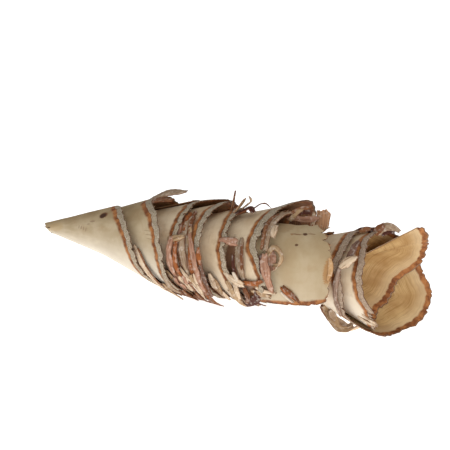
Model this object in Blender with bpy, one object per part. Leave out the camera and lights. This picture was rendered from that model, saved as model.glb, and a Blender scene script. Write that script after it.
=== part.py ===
import math

import bmesh
import bpy
import numpy as np

# driving dimensions, in millimetres; clock angles in degrees
STEP = 10
SLOPE = 0.35
AXIS_Z = 36.0
SHEET = 1.5
BARK_WIDTH = 4.5
BARK_SLOPE = 0.17
BARK_EDGE = 0.7
CORE_RADIUS = 7.0
TIP_RADIUS = 1.4
TIP_BLUNT = 2.2
TIP_BLUNT_FROM = -170.0
TIP_BLUNT_TO = -110.0
FLOOR_Z = -1.0
FLOOR_SHEET = 0.9
DROP_X = [-170.0, -110.0, -75.0, 200.0]
DROP_Z = [-11.5, -2.8, 0.0, 0.0]
MM = 0.001

# clock angle turned so far, x of the cone's point, x of the bark edge
TIP_TABLE = [
    (10, -175, -99), (45, -173, -85), (75, -171, -74), (105, -168, -67), (122, -166.6, -62),
    (134, -165.6, -57), (144, -165, -52.5), (156, -164.2, -51.5), (175, -163.4, -53), (225, -163, -58),
    (285, -163, -63), (345, -163, -69), (366, -162.5, -72), (375, -162, -68), (390, -160.5, -61),
    (405, -158, -55), (420, -155, -50), (442, -151, -46), (466, -149.9, -43), (482, -149.6, -39.5),
    (494, -149.4, -34), (504, -149.2, -29), (516, -149, -28), (535, -148.6, -30), (560, -147, -33.5),
    (620, -142, -38), (700, -139, -40),
]
BAND_TABLE = [
    (630, -135.5, -22), (655, -134.9, -16), (675, -134.3, -17.5), (692, -133.8, -27), (705, -133.5, -37),
    (715, -133.2, -39), (730, -132.7, -37.6), (772, -131, -38.6), (800, -130, -36), (825, -129.2, -32.5),
    (842, -128.4, -27.5), (856, -127.7, -21.5), (868, -127.2, -19), (885, -126.6, -20), (950, -124, -22),
    (1010, -122, -19), (1060, -120.5, -14.5), (1075, -120, -15), (1090, -119.3, -18),
    (1110, -118.5, -19.5), (1146, -117, -17.3), (1180, -115.5, -13.5), (1198, -114.6, -9),
    (1212, -114, -5), (1226, -113.5, -4), (1245, -112.8, -5), (1300, -110.5, -5), (1350, -108.6, -5),
]
ARCH_TABLE = [
    (1280, -106, -4), (1350, -103.3, -5), (1416, -101, -3), (1457, -99.5, 0.6), (1488, -98, 0.9),
    (1516, -95.5, 4.8), (1530, -94, 8.5), (1549, -92.5, 12), (1562, -92, 15), (1575, -91.5, 16.5),
    (1590, -91, 16), (1640, -89, 15), (1670, -87.5, 24), (1700, -85, 37), (1730, -83.5, 45),
    (1750, -86, 46.5), (1765, -88.5, 46.5), (1780, -88.5, 43), (1790, -87, 36), (1805, -85, 31),
    (1820, -83, 27.6),
    (1847, -80, 26), (1867, -78, 33), (1887, -76, 38.7), (1910, -74, 33), (1930, -73, 24),
    (1950, -72, 19), (2000, -73, 18), (2050, -75, 20), (2100, -77, 28), (2140, -78, 36), (2170, -78, 38),
]
FACE_TABLE = [
    (10, -72.9, 65), (20, -73.6, 72), (30, -74.4, 77), (45, -74.4, 83), (61, -73.2, 87),
    (76, -71.8, 87), (90, -70.4, 85.5), (98, -69.7, 80), (109, -68.8, 61), (120, -68.2, 45),
    (135, -67.4, 31), (150, -66.7, 24), (200, -67.7, 20), (250, -67.7, 28), (300, -64, 46),
    (320, -60, 60), (335, -57, 66.5), (348, -56, 66), (360, -56, 57), (370, -56, 49), (380, -56, 48),
    (410, -54, 50), (450, -49, 50), (500, -39, 50), (540, -33, 50), (590, -25, 54),
    (610, -21.3, 57), (660, -17.3, 66), (700, -13.5, 70),
]
MOUTH_TABLE = [
    (-110, -14, 84), (-80, -11, 94), (-60, -9, 100), (-30, -8, 99), (-15, -7, 95), (-1, -6, 91),
    (24, -8, 90), (50, -9.5, 89), (69, -9.5, 92.5), (90, -8.5, 95.5), (113, -6.5, 97.5),
    (130, -1, 106), (150, 8, 118), (192, 18, 131), (216, 25, 140), (235, 26, 141), (247, 24, 138),
    (271, 18, 129), (300, 12, 119), (330, 6, 111), (354, 2, 105), (375, 0.5, 103.5),
    (395, 1.5, 105.8), (422, 3, 107), (447, 6, 113), (459, 9, 118), (480, 12, 118), (510, 15, 114),
    (552, 24, 108.5), (576, 30.5, 112.5), (595, 31.5, 114.5), (614, 29.5, 118), (631, 24, 128),
    (652, 36.5, 134), (680, 62, 137), (700, 72.6, 135),
]
MOUTH_SLOPE = [(-110, 0.35), (614, 0.35), (631, 0.35), (652, 0.4), (680, 0.52), (700, 0.74)]
# how far each bark edge stands off its cone, or is pressed in below; clock angle turned, millimetres
TIP_LIFT = [
    (10, 0.2), (90, 0.4), (112, 0), (126, -1), (136, -2.2), (146, -3), (160, -2.6), (180, -1), (200, 0),
    (360, 0.3), (450, 0.6), (470, 0.2), (484, -1), (496, -2.5), (506, -3.2), (518, -3), (540, -1.5),
    (560, 0), (700, 0.4),
]
BAND_LIFT = [
    (630, 0.4), (700, 0.9), (745, 0.7), (800, 0.8), (830, 0.3), (845, 0), (885, 0), (930, 0.3),
    (1060, 1), (1090, 0.8), (1140, 0.4), (1190, 0), (1208, -2), (1226, -3.2), (1245, -2), (1270, 0),
    (1350, 0.2),
]
ARCH_LIFT = [
    (1280, 0.3), (1430, 0.9), (1470, 0.6), (1510, 0.6), (1535, 0), (1555, -2), (1572, -3.5), (1590, -3),
    (1620, 0), (1700, 0.6), (1776, 2.6), (1800, 1), (1850, 0.4), (1900, 0.8), (1930, 0), (2050, 0.3),
    (2170, 0.3),
]
FACE_LIFT = [(10, 0.2), (700, 0.2)]
MOUTH_LIFT = [
    (-110, 0.3), (0, 0.8), (60, 0.3), (110, 0.6), (145, 0), (300, 0), (360, 0.9), (400, 0.4),
    (450, 0.3), (500, 0), (700, 0),
]
LIFT_REACH = 14.0
# where the loose outer half of the face shaving bends off the nest, and its slope from there
FACE_BEND_X = 20.0
FACE_SLOPE = [
    (0, 0.12), (60, 0.12), (120, 0.2), (250, 0.2), (300, 0.12), (350, 0.08), (365, 0.08), (400, 0.12),
    (440, 0.2), (500, 0.3), (540, 0.35), (700, 0.35),
]


def wipe():
    for item in list(bpy.data.objects):
        bpy.data.objects.remove(item, do_unlink=True)


def curve(rows, column, turn):
    xs = [float(row[0]) for row in rows]
    ys = [float(row[column]) for row in rows]
    turn = min(max(float(turn), xs[0]), xs[-1])
    i = 0
    while i < len(xs) - 2 and turn > xs[i + 1]:
        i += 1
    slopes = []
    for j in (i, i + 1):
        if j == 0:
            slopes.append((ys[1] - ys[0]) / (xs[1] - xs[0]))
            continue
        if j == len(xs) - 1:
            slopes.append((ys[j] - ys[j - 1]) / (xs[j] - xs[j - 1]))
            continue
        before = (ys[j] - ys[j - 1]) / (xs[j] - xs[j - 1])
        after = (ys[j + 1] - ys[j]) / (xs[j + 1] - xs[j])
        if before * after <= 0:
            slopes.append(0.0)
        else:
            slopes.append(2.0 * before * after / (before + after))
    width = xs[i + 1] - xs[i]
    u = (turn - xs[i]) / width
    value = ys[i] * (1 + 2 * u) * (1 - u) ** 2
    value += slopes[0] * width * u * (1 - u) ** 2
    value += ys[i + 1] * u * u * (3 - 2 * u)
    value += slopes[1] * width * u * u * (u - 1)
    return value


def axis_z(x):
    return AXIS_Z + float(np.interp(x, DROP_X, DROP_Z))


def place(turn, x, radius, floor):
    angle = math.radians(turn)
    z = axis_z(x) + radius * math.cos(angle)
    return (x, -radius * math.sin(angle), max(z, floor))


def rough(turn, amount, seed):
    wave = math.sin(turn * 0.113 + seed) + math.sin(turn * 0.271 + 2.1 * seed)
    wave += math.sin(turn * 0.607 + 3.7 * seed)
    return amount * wave / 3.0


def stand_off(lifts, turn, gap):
    lift = float(np.interp(turn, [row[0] for row in lifts], [row[1] for row in lifts]))
    return lift * max(1.0 - gap / LIFT_REACH, 0.0) ** 1.6


def sheet(name, first, last, radius_at, edge_x, start_x, knots, lifts, seed):
    verts = []
    count = 0
    turns = list(range(first, last + 1, STEP))
    for turn in turns:
        edge = edge_x(turn) + rough(turn, 1.1, seed)
        wood = edge - BARK_WIDTH
        begin = start_x(turn)
        marks = [begin]
        for i, knot in enumerate(knots):
            low = marks[-1] + 2.0
            high = wood - 2.0 * (len(knots) - i)
            marks.append(min(max(knot, low), high))
        marks.append(wood)
        outer = []
        inner = []
        for x in marks:
            radius = radius_at(turn, x) + stand_off(lifts, turn, edge - x)
            outer.append(place(turn, x, radius, FLOOR_Z))
            inner.append(place(turn, x, radius - SHEET, FLOOR_Z + FLOOR_SHEET))
        radius = radius_at(turn, wood) + BARK_SLOPE * BARK_WIDTH + stand_off(lifts, turn, 0.0)
        outer.append(place(turn, edge, radius, FLOOR_Z))
        inner.append(place(turn, edge, radius - BARK_EDGE, FLOOR_Z + BARK_EDGE))
        ring = outer + inner[::-1]
        count = len(ring)
        verts.extend(ring)
    faces = []
    for i in range(len(turns) - 1):
        for j in range(count):
            a = i * count + j
            b = i * count + (j + 1) % count
            faces.append((a, b, b + count, a + count))
    half = count // 2
    last_row = (len(turns) - 1) * count
    for j in range(half - 1):
        k = count - 1 - j
        faces.append((j + 1, j, k, k - 1))
        faces.append((last_row + j, last_row + j + 1, last_row + k - 1, last_row + k))
    return solid(name, verts, faces)


def solid(name, verts, faces):
    mesh = bpy.data.meshes.new(name)
    mesh.from_pydata([tuple(c * MM for c in v) for v in verts], [], faces)
    bm = bmesh.new()
    bm.from_mesh(mesh)
    bmesh.ops.triangulate(bm, faces=bm.faces[:])
    bmesh.ops.recalc_face_normals(bm, faces=bm.faces[:])
    if bm.calc_volume(signed=True) < 0:
        bmesh.ops.reverse_faces(bm, faces=bm.faces[:])
    bm.to_mesh(mesh)
    bm.free()
    item = bpy.data.objects.new(name, mesh)
    bpy.context.scene.collection.objects.link(item)
    return item


def cone_radius(table):
    def radius_at(turn, x):
        return SLOPE * (x - curve(table, 1, turn))
    return radius_at


def tip_radius(turn, x):
    share = (TIP_BLUNT_TO - x) / (TIP_BLUNT_TO - TIP_BLUNT_FROM)
    return SLOPE * (x - curve(TIP_TABLE, 1, turn)) + TIP_BLUNT * min(max(share, 0.0), 1.0)


def edge_of(table):
    def edge_x(turn):
        return curve(table, 2, turn)
    return edge_x


def plain_slope(turn):
    return SLOPE


def mouth_slope(turn):
    return curve(MOUTH_SLOPE, 1, turn)


def face_radius(turn, x):
    point = curve(FACE_TABLE, 1, turn)
    if x <= FACE_BEND_X:
        return SLOPE * (x - point)
    return SLOPE * (FACE_BEND_X - point) + curve(FACE_SLOPE, 1, turn) * (x - FACE_BEND_X)


def mouth_radius(turn, x):
    return mouth_slope(turn) * (x - curve(MOUTH_TABLE, 1, turn))


def core_start(table, slope_at):
    def start_x(turn):
        return curve(table, 1, turn) + CORE_RADIUS / slope_at(turn)
    return start_x


def tip_start(turn):
    grow = min(max((turn - 200.0) / 200.0, 0.0), 1.0)
    radius = TIP_RADIUS + grow * (CORE_RADIUS - TIP_RADIUS)
    return curve(TIP_TABLE, 1, turn) + radius / SLOPE


# a torn strip along rows of clock angle, x, radius, width and thickness
def tongue(name, hint, rows):
    centres = [np.array(place(row[0], row[1], row[2], -99.0)) for row in rows]
    verts = []
    for i, row in enumerate(rows):
        ahead = centres[min(i + 1, len(rows) - 1)] - centres[max(i - 1, 0)]
        ahead = ahead / np.linalg.norm(ahead)
        angle = math.radians(row[0])
        face = np.array([0.0, -math.sin(angle), math.cos(angle)])
        if hint == "along":
            face = np.array([1.0, 0.0, 0.0])
        if hint == "across":
            face = np.array([0.0, -math.cos(angle), -math.sin(angle)])
        face = face - ahead * float(face @ ahead)
        face = face / np.linalg.norm(face)
        side = np.cross(ahead, face)
        for a, b in ((-1, 1), (1, 1), (1, -1), (-1, -1)):
            point = centres[i] + side * a * row[3] / 2 + face * b * row[4] / 2
            verts.append((point[0], point[1], max(point[2], FLOOR_Z)))
    faces = [(3, 2, 1, 0)]
    for i in range(len(rows) - 1):
        for j in range(4):
            a = 4 * i + j
            b = 4 * i + (j + 1) % 4
            faces.append((a, b, b + 4, a + 4))
    end = 4 * (len(rows) - 1)
    faces.append((end, end + 1, end + 2, end + 3))
    return solid(name, verts, faces)


def join(body, pieces):
    if not pieces:
        return
    group = bpy.data.collections.new(body.name + "_extra")
    for piece in pieces:
        group.objects.link(piece)
    tool = body.modifiers.new("union", "BOOLEAN")
    tool.operation = "UNION"
    tool.operand_type = "COLLECTION"
    tool.collection = group
    tool.solver = "EXACT"
    bpy.context.view_layer.update()
    graph = bpy.context.evaluated_depsgraph_get()
    mesh = bpy.data.meshes.new_from_object(body.evaluated_get(graph))
    body.modifiers.remove(tool)
    body.data = mesh
    for piece in pieces:
        bpy.data.objects.remove(piece, do_unlink=True)
    bpy.data.collections.remove(group)


def paint(item, name, colour, roughness):
    material = bpy.data.materials.new(name)
    material.use_nodes = True
    shader = material.node_tree.nodes["Principled BSDF"]
    shader.inputs["Base Color"].default_value = (*colour, 1.0)
    shader.inputs["Roughness"].default_value = roughness
    item.data.materials.clear()
    item.data.materials.append(material)


def settle(items):
    low = np.array([1e9, 1e9, 1e9])
    high = -low
    for item in items:
        points = np.array([v.co for v in item.data.vertices])
        low = np.minimum(low, points.min(axis=0))
        high = np.maximum(high, points.max(axis=0))
    shift = np.array([-(low[0] + high[0]) / 2, -(low[1] + high[1]) / 2, -low[2]])
    print("moved by, mm", [round(float(c) / MM, 3) for c in shift])
    print("size mm", [round(float(c) / MM, 2) for c in high - low])
    for item in items:
        for v in item.data.vertices:
            v.co = v.co + type(v.co)(shift.tolist())


wipe()

# the five shavings, each a thin cone wound round the axis, from the tip to the open mouth
tip = sheet("shaving_1_tip", 10, 700, tip_radius, edge_of(TIP_TABLE), tip_start,
            [-110.0, -75.0], TIP_LIFT, 1.0)
band = sheet("shaving_2_bands", 630, 1350, cone_radius(BAND_TABLE), edge_of(BAND_TABLE),
             core_start(BAND_TABLE, plain_slope), [-75.0], BAND_LIFT, 2.0)
arch = sheet("shaving_3_arch", 1280, 2170, cone_radius(ARCH_TABLE), edge_of(ARCH_TABLE),
             core_start(ARCH_TABLE, plain_slope), [-75.0], ARCH_LIFT, 3.0)
face = sheet("shaving_4_face", 10, 700, face_radius, edge_of(FACE_TABLE),
             core_start(FACE_TABLE, plain_slope), [FACE_BEND_X, 50.0], FACE_LIFT, 4.0)
mouth = sheet("shaving_5_mouth", -110, 700, mouth_radius, edge_of(MOUTH_TABLE),
              core_start(MOUTH_TABLE, mouth_slope), [80.0], MOUTH_LIFT, 5.0)

# torn bark and splinters, fused with the shaving that each grows out of
tip_torn = [
    ("out", [(355, -77, 29.7, 7, 1.4), (354, -70, 33.3, 8, 1.2), (353, -65, 36.5, 8, 1.1),
             (352, -57, 39, 7.5, 1.1), (351, -50, 39.6, 6, 1), (350, -44, 39.8, 3, 0.9)]),
    ("out", [(6, -76, 29.6, 5, 1.4), (6, -68, 33.5, 5, 1.1), (7, -60, 35.5, 5, 1), (8, -53, 36, 3, 0.9)]),
    ("out", [(104, -47, 34.8, 4, 1.4), (118, -45, 36.8, 5, 1.2), (132, -42, 38, 5, 1.1),
             (145, -37, 38.4, 3, 1)]),
]
band_torn = [
    ("out", [(48, -41, 31, 5, 1.4), (60, -42.5, 33.2, 6, 1.2), (78, -42.5, 34.2, 6, 1.2),
             (96, -41, 34.8, 5, 1.1), (110, -38, 35, 3, 1)]),
    ("out", [(56, -38, 32, 4, 1.4), (66, -36.5, 34.2, 4.5, 1.2), (82, -36, 34.8, 4.5, 1.2),
             (97, -34, 35.2, 4, 1.1), (108, -31, 35.2, 3, 1)]),
    ("out", [(42, -33, 29.5, 4, 1.4), (52, -33.5, 32.4, 4.5, 1.2), (66, -32, 33.6, 4.5, 1.2),
             (82, -29, 34.2, 4.5, 1.2), (98, -26, 34.6, 4, 1.1), (112, -23, 34.4, 3, 1)]),
    ("out", [(58, -41, 31.4, 4, 1.4), (57, -37, 35, 5, 1.1), (56, -31, 35.6, 5, 1.1), (55, -27, 34.6, 3, 1)]),
    ("out", [(98, -27, 30.9, 5, 1.4), (112, -26, 34.5, 5, 1.2), (128, -22, 36.5, 5, 1.1),
             (141, -17, 37.2, 4, 1)]),
]
arch_torn = [
    ("out", [(40, 12, 31.8, 4.5, 1.4), (50, 13.5, 34.4, 5, 1.2), (64, 15, 35.6, 5, 1.2),
             (78, 17, 35.8, 5, 1.2), (90, 18.5, 34.6, 3.5, 1.1), (98, 19, 32.9, 3, 1.3)]),
    ("along", [(348, -9, 31.4, 3.4, 1.6), (349, -8, 39, 2.8, 1.3), (350, -7.3, 44, 2.2, 1.1),
               (350, -7, 48, 1.5, 1)]),
    ("along", [(0, -4, 33, 4.4, 1.6), (0, 0, 39, 3.6, 1.3), (358, 3.5, 44, 3, 1.1), (356, 6, 47, 2, 1)]),
    ("out", [(6, -4, 32.8, 4, 1.5), (5, 5, 37.6, 4, 1.2), (4, 10, 41, 3.6, 1.1), (8, 13, 38.6, 3, 1)]),
    ("out", [(50, -5, 32, 5, 1.5), (50, 3, 36.8, 6, 1.1), (51, 9, 37.6, 6, 1.1), (52, 13, 36.6, 4, 1)]),
    ("out", [(92, 2, 33.2, 5, 1.5), (94, 10, 37, 7, 1.1), (96, 17, 38, 7, 1.1), (97, 21, 37, 3, 1)]),
    ("out", [(4, 36, 39.2, 6, 1.5), (16, 36, 40.8, 6, 1.2), (28, 37, 40.6, 6, 1.2), (40, 37, 40.2, 6, 1.2),
             (52, 35.5, 40, 5, 1.1), (60, 37, 41, 5, 1.1), (67, 41, 42.4, 5, 1.1), (73, 44, 41.4, 4, 1),
             (77, 43, 39.6, 3, 0.9)]),
    ("out", [(92, 30, 36.2, 5, 1.5), (104, 31, 38.2, 6, 1.2), (119, 27, 37.8, 6, 1.2),
             (134, 21, 37.4, 5, 1.1), (146, 15, 37, 3, 1)]),
    ("out", [(100, 6, 34.4, 5, 1.5), (114, 11, 37.4, 5, 1.2), (130, 14, 38, 5, 1.1), (143, 16, 37.6, 4, 1)]),
]
face_torn = [
    ("across", [(341, 61, 28.5, 7, 1.6), (341, 61.5, 34, 8, 1.3), (340, 61, 39, 8, 1.2),
                (339, 60, 43.4, 6, 1.1)]),
]
mouth_torn = [
    ("out", [(126, 102, 36, 6, 1.5), (129, 95, 40.5, 6, 1.2), (132, 88, 42, 6, 1.1), (134, 82, 39.4, 5, 1.1),
             (134, 77, 35, 4, 1), (133, 73, 31.4, 3, 1)]),
    ("out", [(150, 104, 33.2, 6, 1.5), (150, 98, 37.4, 6, 1.2), (149, 91, 37.6, 5, 1.1),
             (147, 85, 34, 4, 1)]),
    ("out", [(346, 100, 33.6, 6, 1.5), (345, 107, 37.5, 6, 1.2), (344, 112, 40.5, 5, 1.1),
             (343, 117, 41, 4, 1), (342, 120, 39.4, 2.5, 1)]),
    ("out", [(351, 99, 33.4, 5, 1.5), (351, 106, 38.4, 4, 1.1), (352, 110, 41.5, 3, 1)]),
    ("out", [(109, 109, 34, 3, 1.5), (111, 116, 37.6, 3, 1.1), (112, 121, 38.8, 2, 1)]),
    ("out", [(119, 105, 32.2, 3, 1.5), (118, 113, 36.2, 3, 1.1), (117, 120, 38, 2, 1)]),
]
for body, torn in ((tip, tip_torn), (band, band_torn), (arch, arch_torn), (face, face_torn),
                   (mouth, mouth_torn)):
    join(body, [tongue(f"{body.name}_torn_{i}", hint, rows) for i, (hint, rows) in enumerate(torn)])

items = [tip, band, arch, face, mouth]
colours = [(0.57, 0.45, 0.29), (0.54, 0.41, 0.25), (0.52, 0.39, 0.23), (0.6, 0.48, 0.3), (0.54, 0.37, 0.16)]
for item, colour in zip(items, colours):
    paint(item, item.name + "_wood", colour, 0.75)
settle(items)
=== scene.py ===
import math

import bmesh
import bpy
import numpy as np
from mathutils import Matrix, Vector


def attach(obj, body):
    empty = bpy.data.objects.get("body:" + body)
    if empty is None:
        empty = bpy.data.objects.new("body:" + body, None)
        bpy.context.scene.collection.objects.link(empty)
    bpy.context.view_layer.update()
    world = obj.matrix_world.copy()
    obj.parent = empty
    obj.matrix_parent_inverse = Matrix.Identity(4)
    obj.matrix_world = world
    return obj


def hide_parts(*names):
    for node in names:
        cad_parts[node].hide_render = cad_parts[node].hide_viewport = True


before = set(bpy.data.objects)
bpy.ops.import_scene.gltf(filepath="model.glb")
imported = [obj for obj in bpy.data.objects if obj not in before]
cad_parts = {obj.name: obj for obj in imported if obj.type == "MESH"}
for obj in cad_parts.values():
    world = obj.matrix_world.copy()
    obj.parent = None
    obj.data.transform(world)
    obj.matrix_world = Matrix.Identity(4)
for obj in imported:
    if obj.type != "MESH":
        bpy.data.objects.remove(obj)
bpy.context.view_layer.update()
print("frame loaded")

mm = 0.001

# the roll's own axis and sheet, in millimetres; a turn is a clock angle in degrees that keeps counting
roll = {
    "shift": (15.059, -0.84, 1.0),           # from the roll's axis to the frame's origin
    "axisHeight": 36.0,
    "dropAt": (-170.0, -110.0, -75.0, 200.0),
    "drop": (-10.4, -2.6, 0.0, 0.0),        # the thin end hangs lower
    "slope": 0.35,
    "core": 7.0,
    "floor": -1.0,
    "strip": 4.5,                           # bark strip that lies flatter than the wood
    "stripSlope": 0.17,
    "rimZone": 9.0,
    "liftReach": 14.0,                      # how far in from the rim a lift is felt
    "rimSearch": 70,                        # rows each way in which the nearest rim point is sought
    "thick": 1.15,
    "thickEdge": 0.5,
    "acrossPerTurn": 0.6,                   # millimetres across the grain for one degree
    "rimSteps": (9, 8.2, 7.6, 7.1, 6.6, 6.1, 5.6, 5.1, 4.7, 4.3, 3.8, 3.2, 2.6, 2, 1.4, 0.9, 0.5, 0.2, 0),
}
tearing = {"coarse": (0.55, 9.0), "fine": (0.22, 3.0), "nick": (1.8, 4.4), "nickFrom": 0.62}  # depth, size
sheetRelief = {                             # millimetres: depth and size, or where and how wide
    "swell": (0.1, 26), "ripple": (0.05, 9), "groove": 0.22, "grooveAt": 5.4, "grooveWide": 0.8,
    "barkRise": 0.34, "crust": 0.07, "crustSizes": (3.1, 1.5), "edgeRound": 0.25,
}
barkLook = {
    "brownFrom": 4.5, "brownTo": 7.3,      # millimetres from the rim, seen from outside
    "brownInside": 4.0,                    # the same from inside
    "brownDark": (0.18, 0.054, 0.014), "brownLight": (0.42, 0.165, 0.048),
    "edge": (0.075, 0.026, 0.010), "crack": (0.09, 0.05, 0.028),
}


def tableAt(rows, column, turns):
    xs = np.array([row[0] for row in rows], float)
    ys = np.array([row[column] for row in rows], float)
    turns = np.clip(turns, xs[0], xs[-1])
    rise = np.diff(ys) / np.diff(xs)
    slopes = np.zeros(len(xs))
    slopes[0], slopes[-1] = rise[0], rise[-1]
    before, after = rise[:-1], rise[1:]
    same = before * after > 0
    total = np.where(same, before + after, 1.0)
    slopes[1:-1] = np.where(same, 2 * before * after / total, 0.0)
    i = np.clip(np.searchsorted(xs, turns, side="right") - 1, 0, len(xs) - 2)
    width = xs[i + 1] - xs[i]
    u = (turns - xs[i]) / width
    value = ys[i] * (1 + 2 * u) * (1 - u) ** 2 + slopes[i] * width * u * (1 - u) ** 2
    return value + ys[i + 1] * u * u * (3 - 2 * u) + slopes[i + 1] * width * u * u * (u - 1)


def alongRows(rows, turns, column=1):
    return np.interp(turns, [row[0] for row in rows], [row[column] for row in rows])


def axisAt(x):
    return roll["axisHeight"] + np.interp(x, roll["dropAt"], roll["drop"])


def wobble(t, size, seed, angular=False):
    count = 4096
    knots = np.random.RandomState(seed).uniform(-1, 1, count)
    t = np.asarray(t, float) / size + 700
    i = np.floor(t).astype(int)
    u = t - i
    u = u if angular else u * u * (3 - 2 * u)
    return knots[i % count] * (1 - u) + knots[(i + 1) % count] * u


def ripple(a, b, size, seed):
    draw = np.random.RandomState(seed)
    total = 0.0
    for _ in range(5):
        angle = draw.uniform(0, math.pi)
        pace = draw.uniform(0.7, 1.5) * 2 * math.pi / size
        phase = draw.uniform(0, 2 * math.pi)
        total = total + np.sin((a * math.cos(angle) + b * math.sin(angle)) * pace + phase)
    return total / 5


def wave(turns, seed):
    total = np.sin(turns * 0.113 + seed) + np.sin(turns * 0.271 + 2.1 * seed)
    return 1.1 * (total + np.sin(turns * 0.607 + 3.7 * seed)) / 3


def soft(value, low, high):
    u = np.clip((value - low) / (high - low), 0, 1)
    return u * u * (3 - 2 * u)


def toFrame(clock, x, radius):
    angle = np.radians(clock)
    y = -radius * np.sin(angle)
    z = np.maximum(axisAt(x) + radius * np.cos(angle), roll["floor"])
    return (np.stack([x, y, z], -1) + np.array(roll["shift"])) * mm


def coneRadius(rows):
    return lambda turns, x: roll["slope"] * (x - tableAt(rows, 1, turns))


def coreStart(rows):
    return lambda turns: tableAt(rows, 1, turns) + roll["core"] / roll["slope"]


def show(name, data):
    item = bpy.data.objects.new(name, data)
    bpy.context.scene.collection.objects.link(item)
    return item


def meshObject(name, verts, faces, attributes, material):
    mesh = bpy.data.meshes.new(name)
    mesh.from_pydata(np.asarray(verts).tolist(), [], faces)
    for title, kind, field, values in attributes:
        made = mesh.attributes.new(title, kind, "POINT")
        made.data.foreach_set(field, np.asarray(values, np.float32).ravel())
    bm = bmesh.new()
    bm.from_mesh(mesh)
    if bm.calc_volume(signed=True) < 0:
        bmesh.ops.reverse_faces(bm, faces=bm.faces[:])
    bm.to_mesh(mesh)
    bm.free()
    mesh.shade_smooth()
    mesh.set_sharp_from_angle(angle=math.radians(60))
    mesh.materials.append(material)
    return show(name, mesh)


# the faces of a closed band: rows of points, size points each, with a cap at each end
def bandFaces(rows, size, base=0):
    faces = []
    for i in range(rows - 1):
        for j in range(size):
            a, b = base + i * size + j, base + i * size + (j + 1) % size
            faces.append((a, b, b + size, a + size))
    for i in (0, rows - 1):
        first = base + i * size
        for j in range(size // 2 - 1):
            quad = (first + j + 1, first + j, first + size - 1 - j, first + size - 2 - j)
            faces.append(quad if i == 0 else quad[::-1])
    return faces


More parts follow.
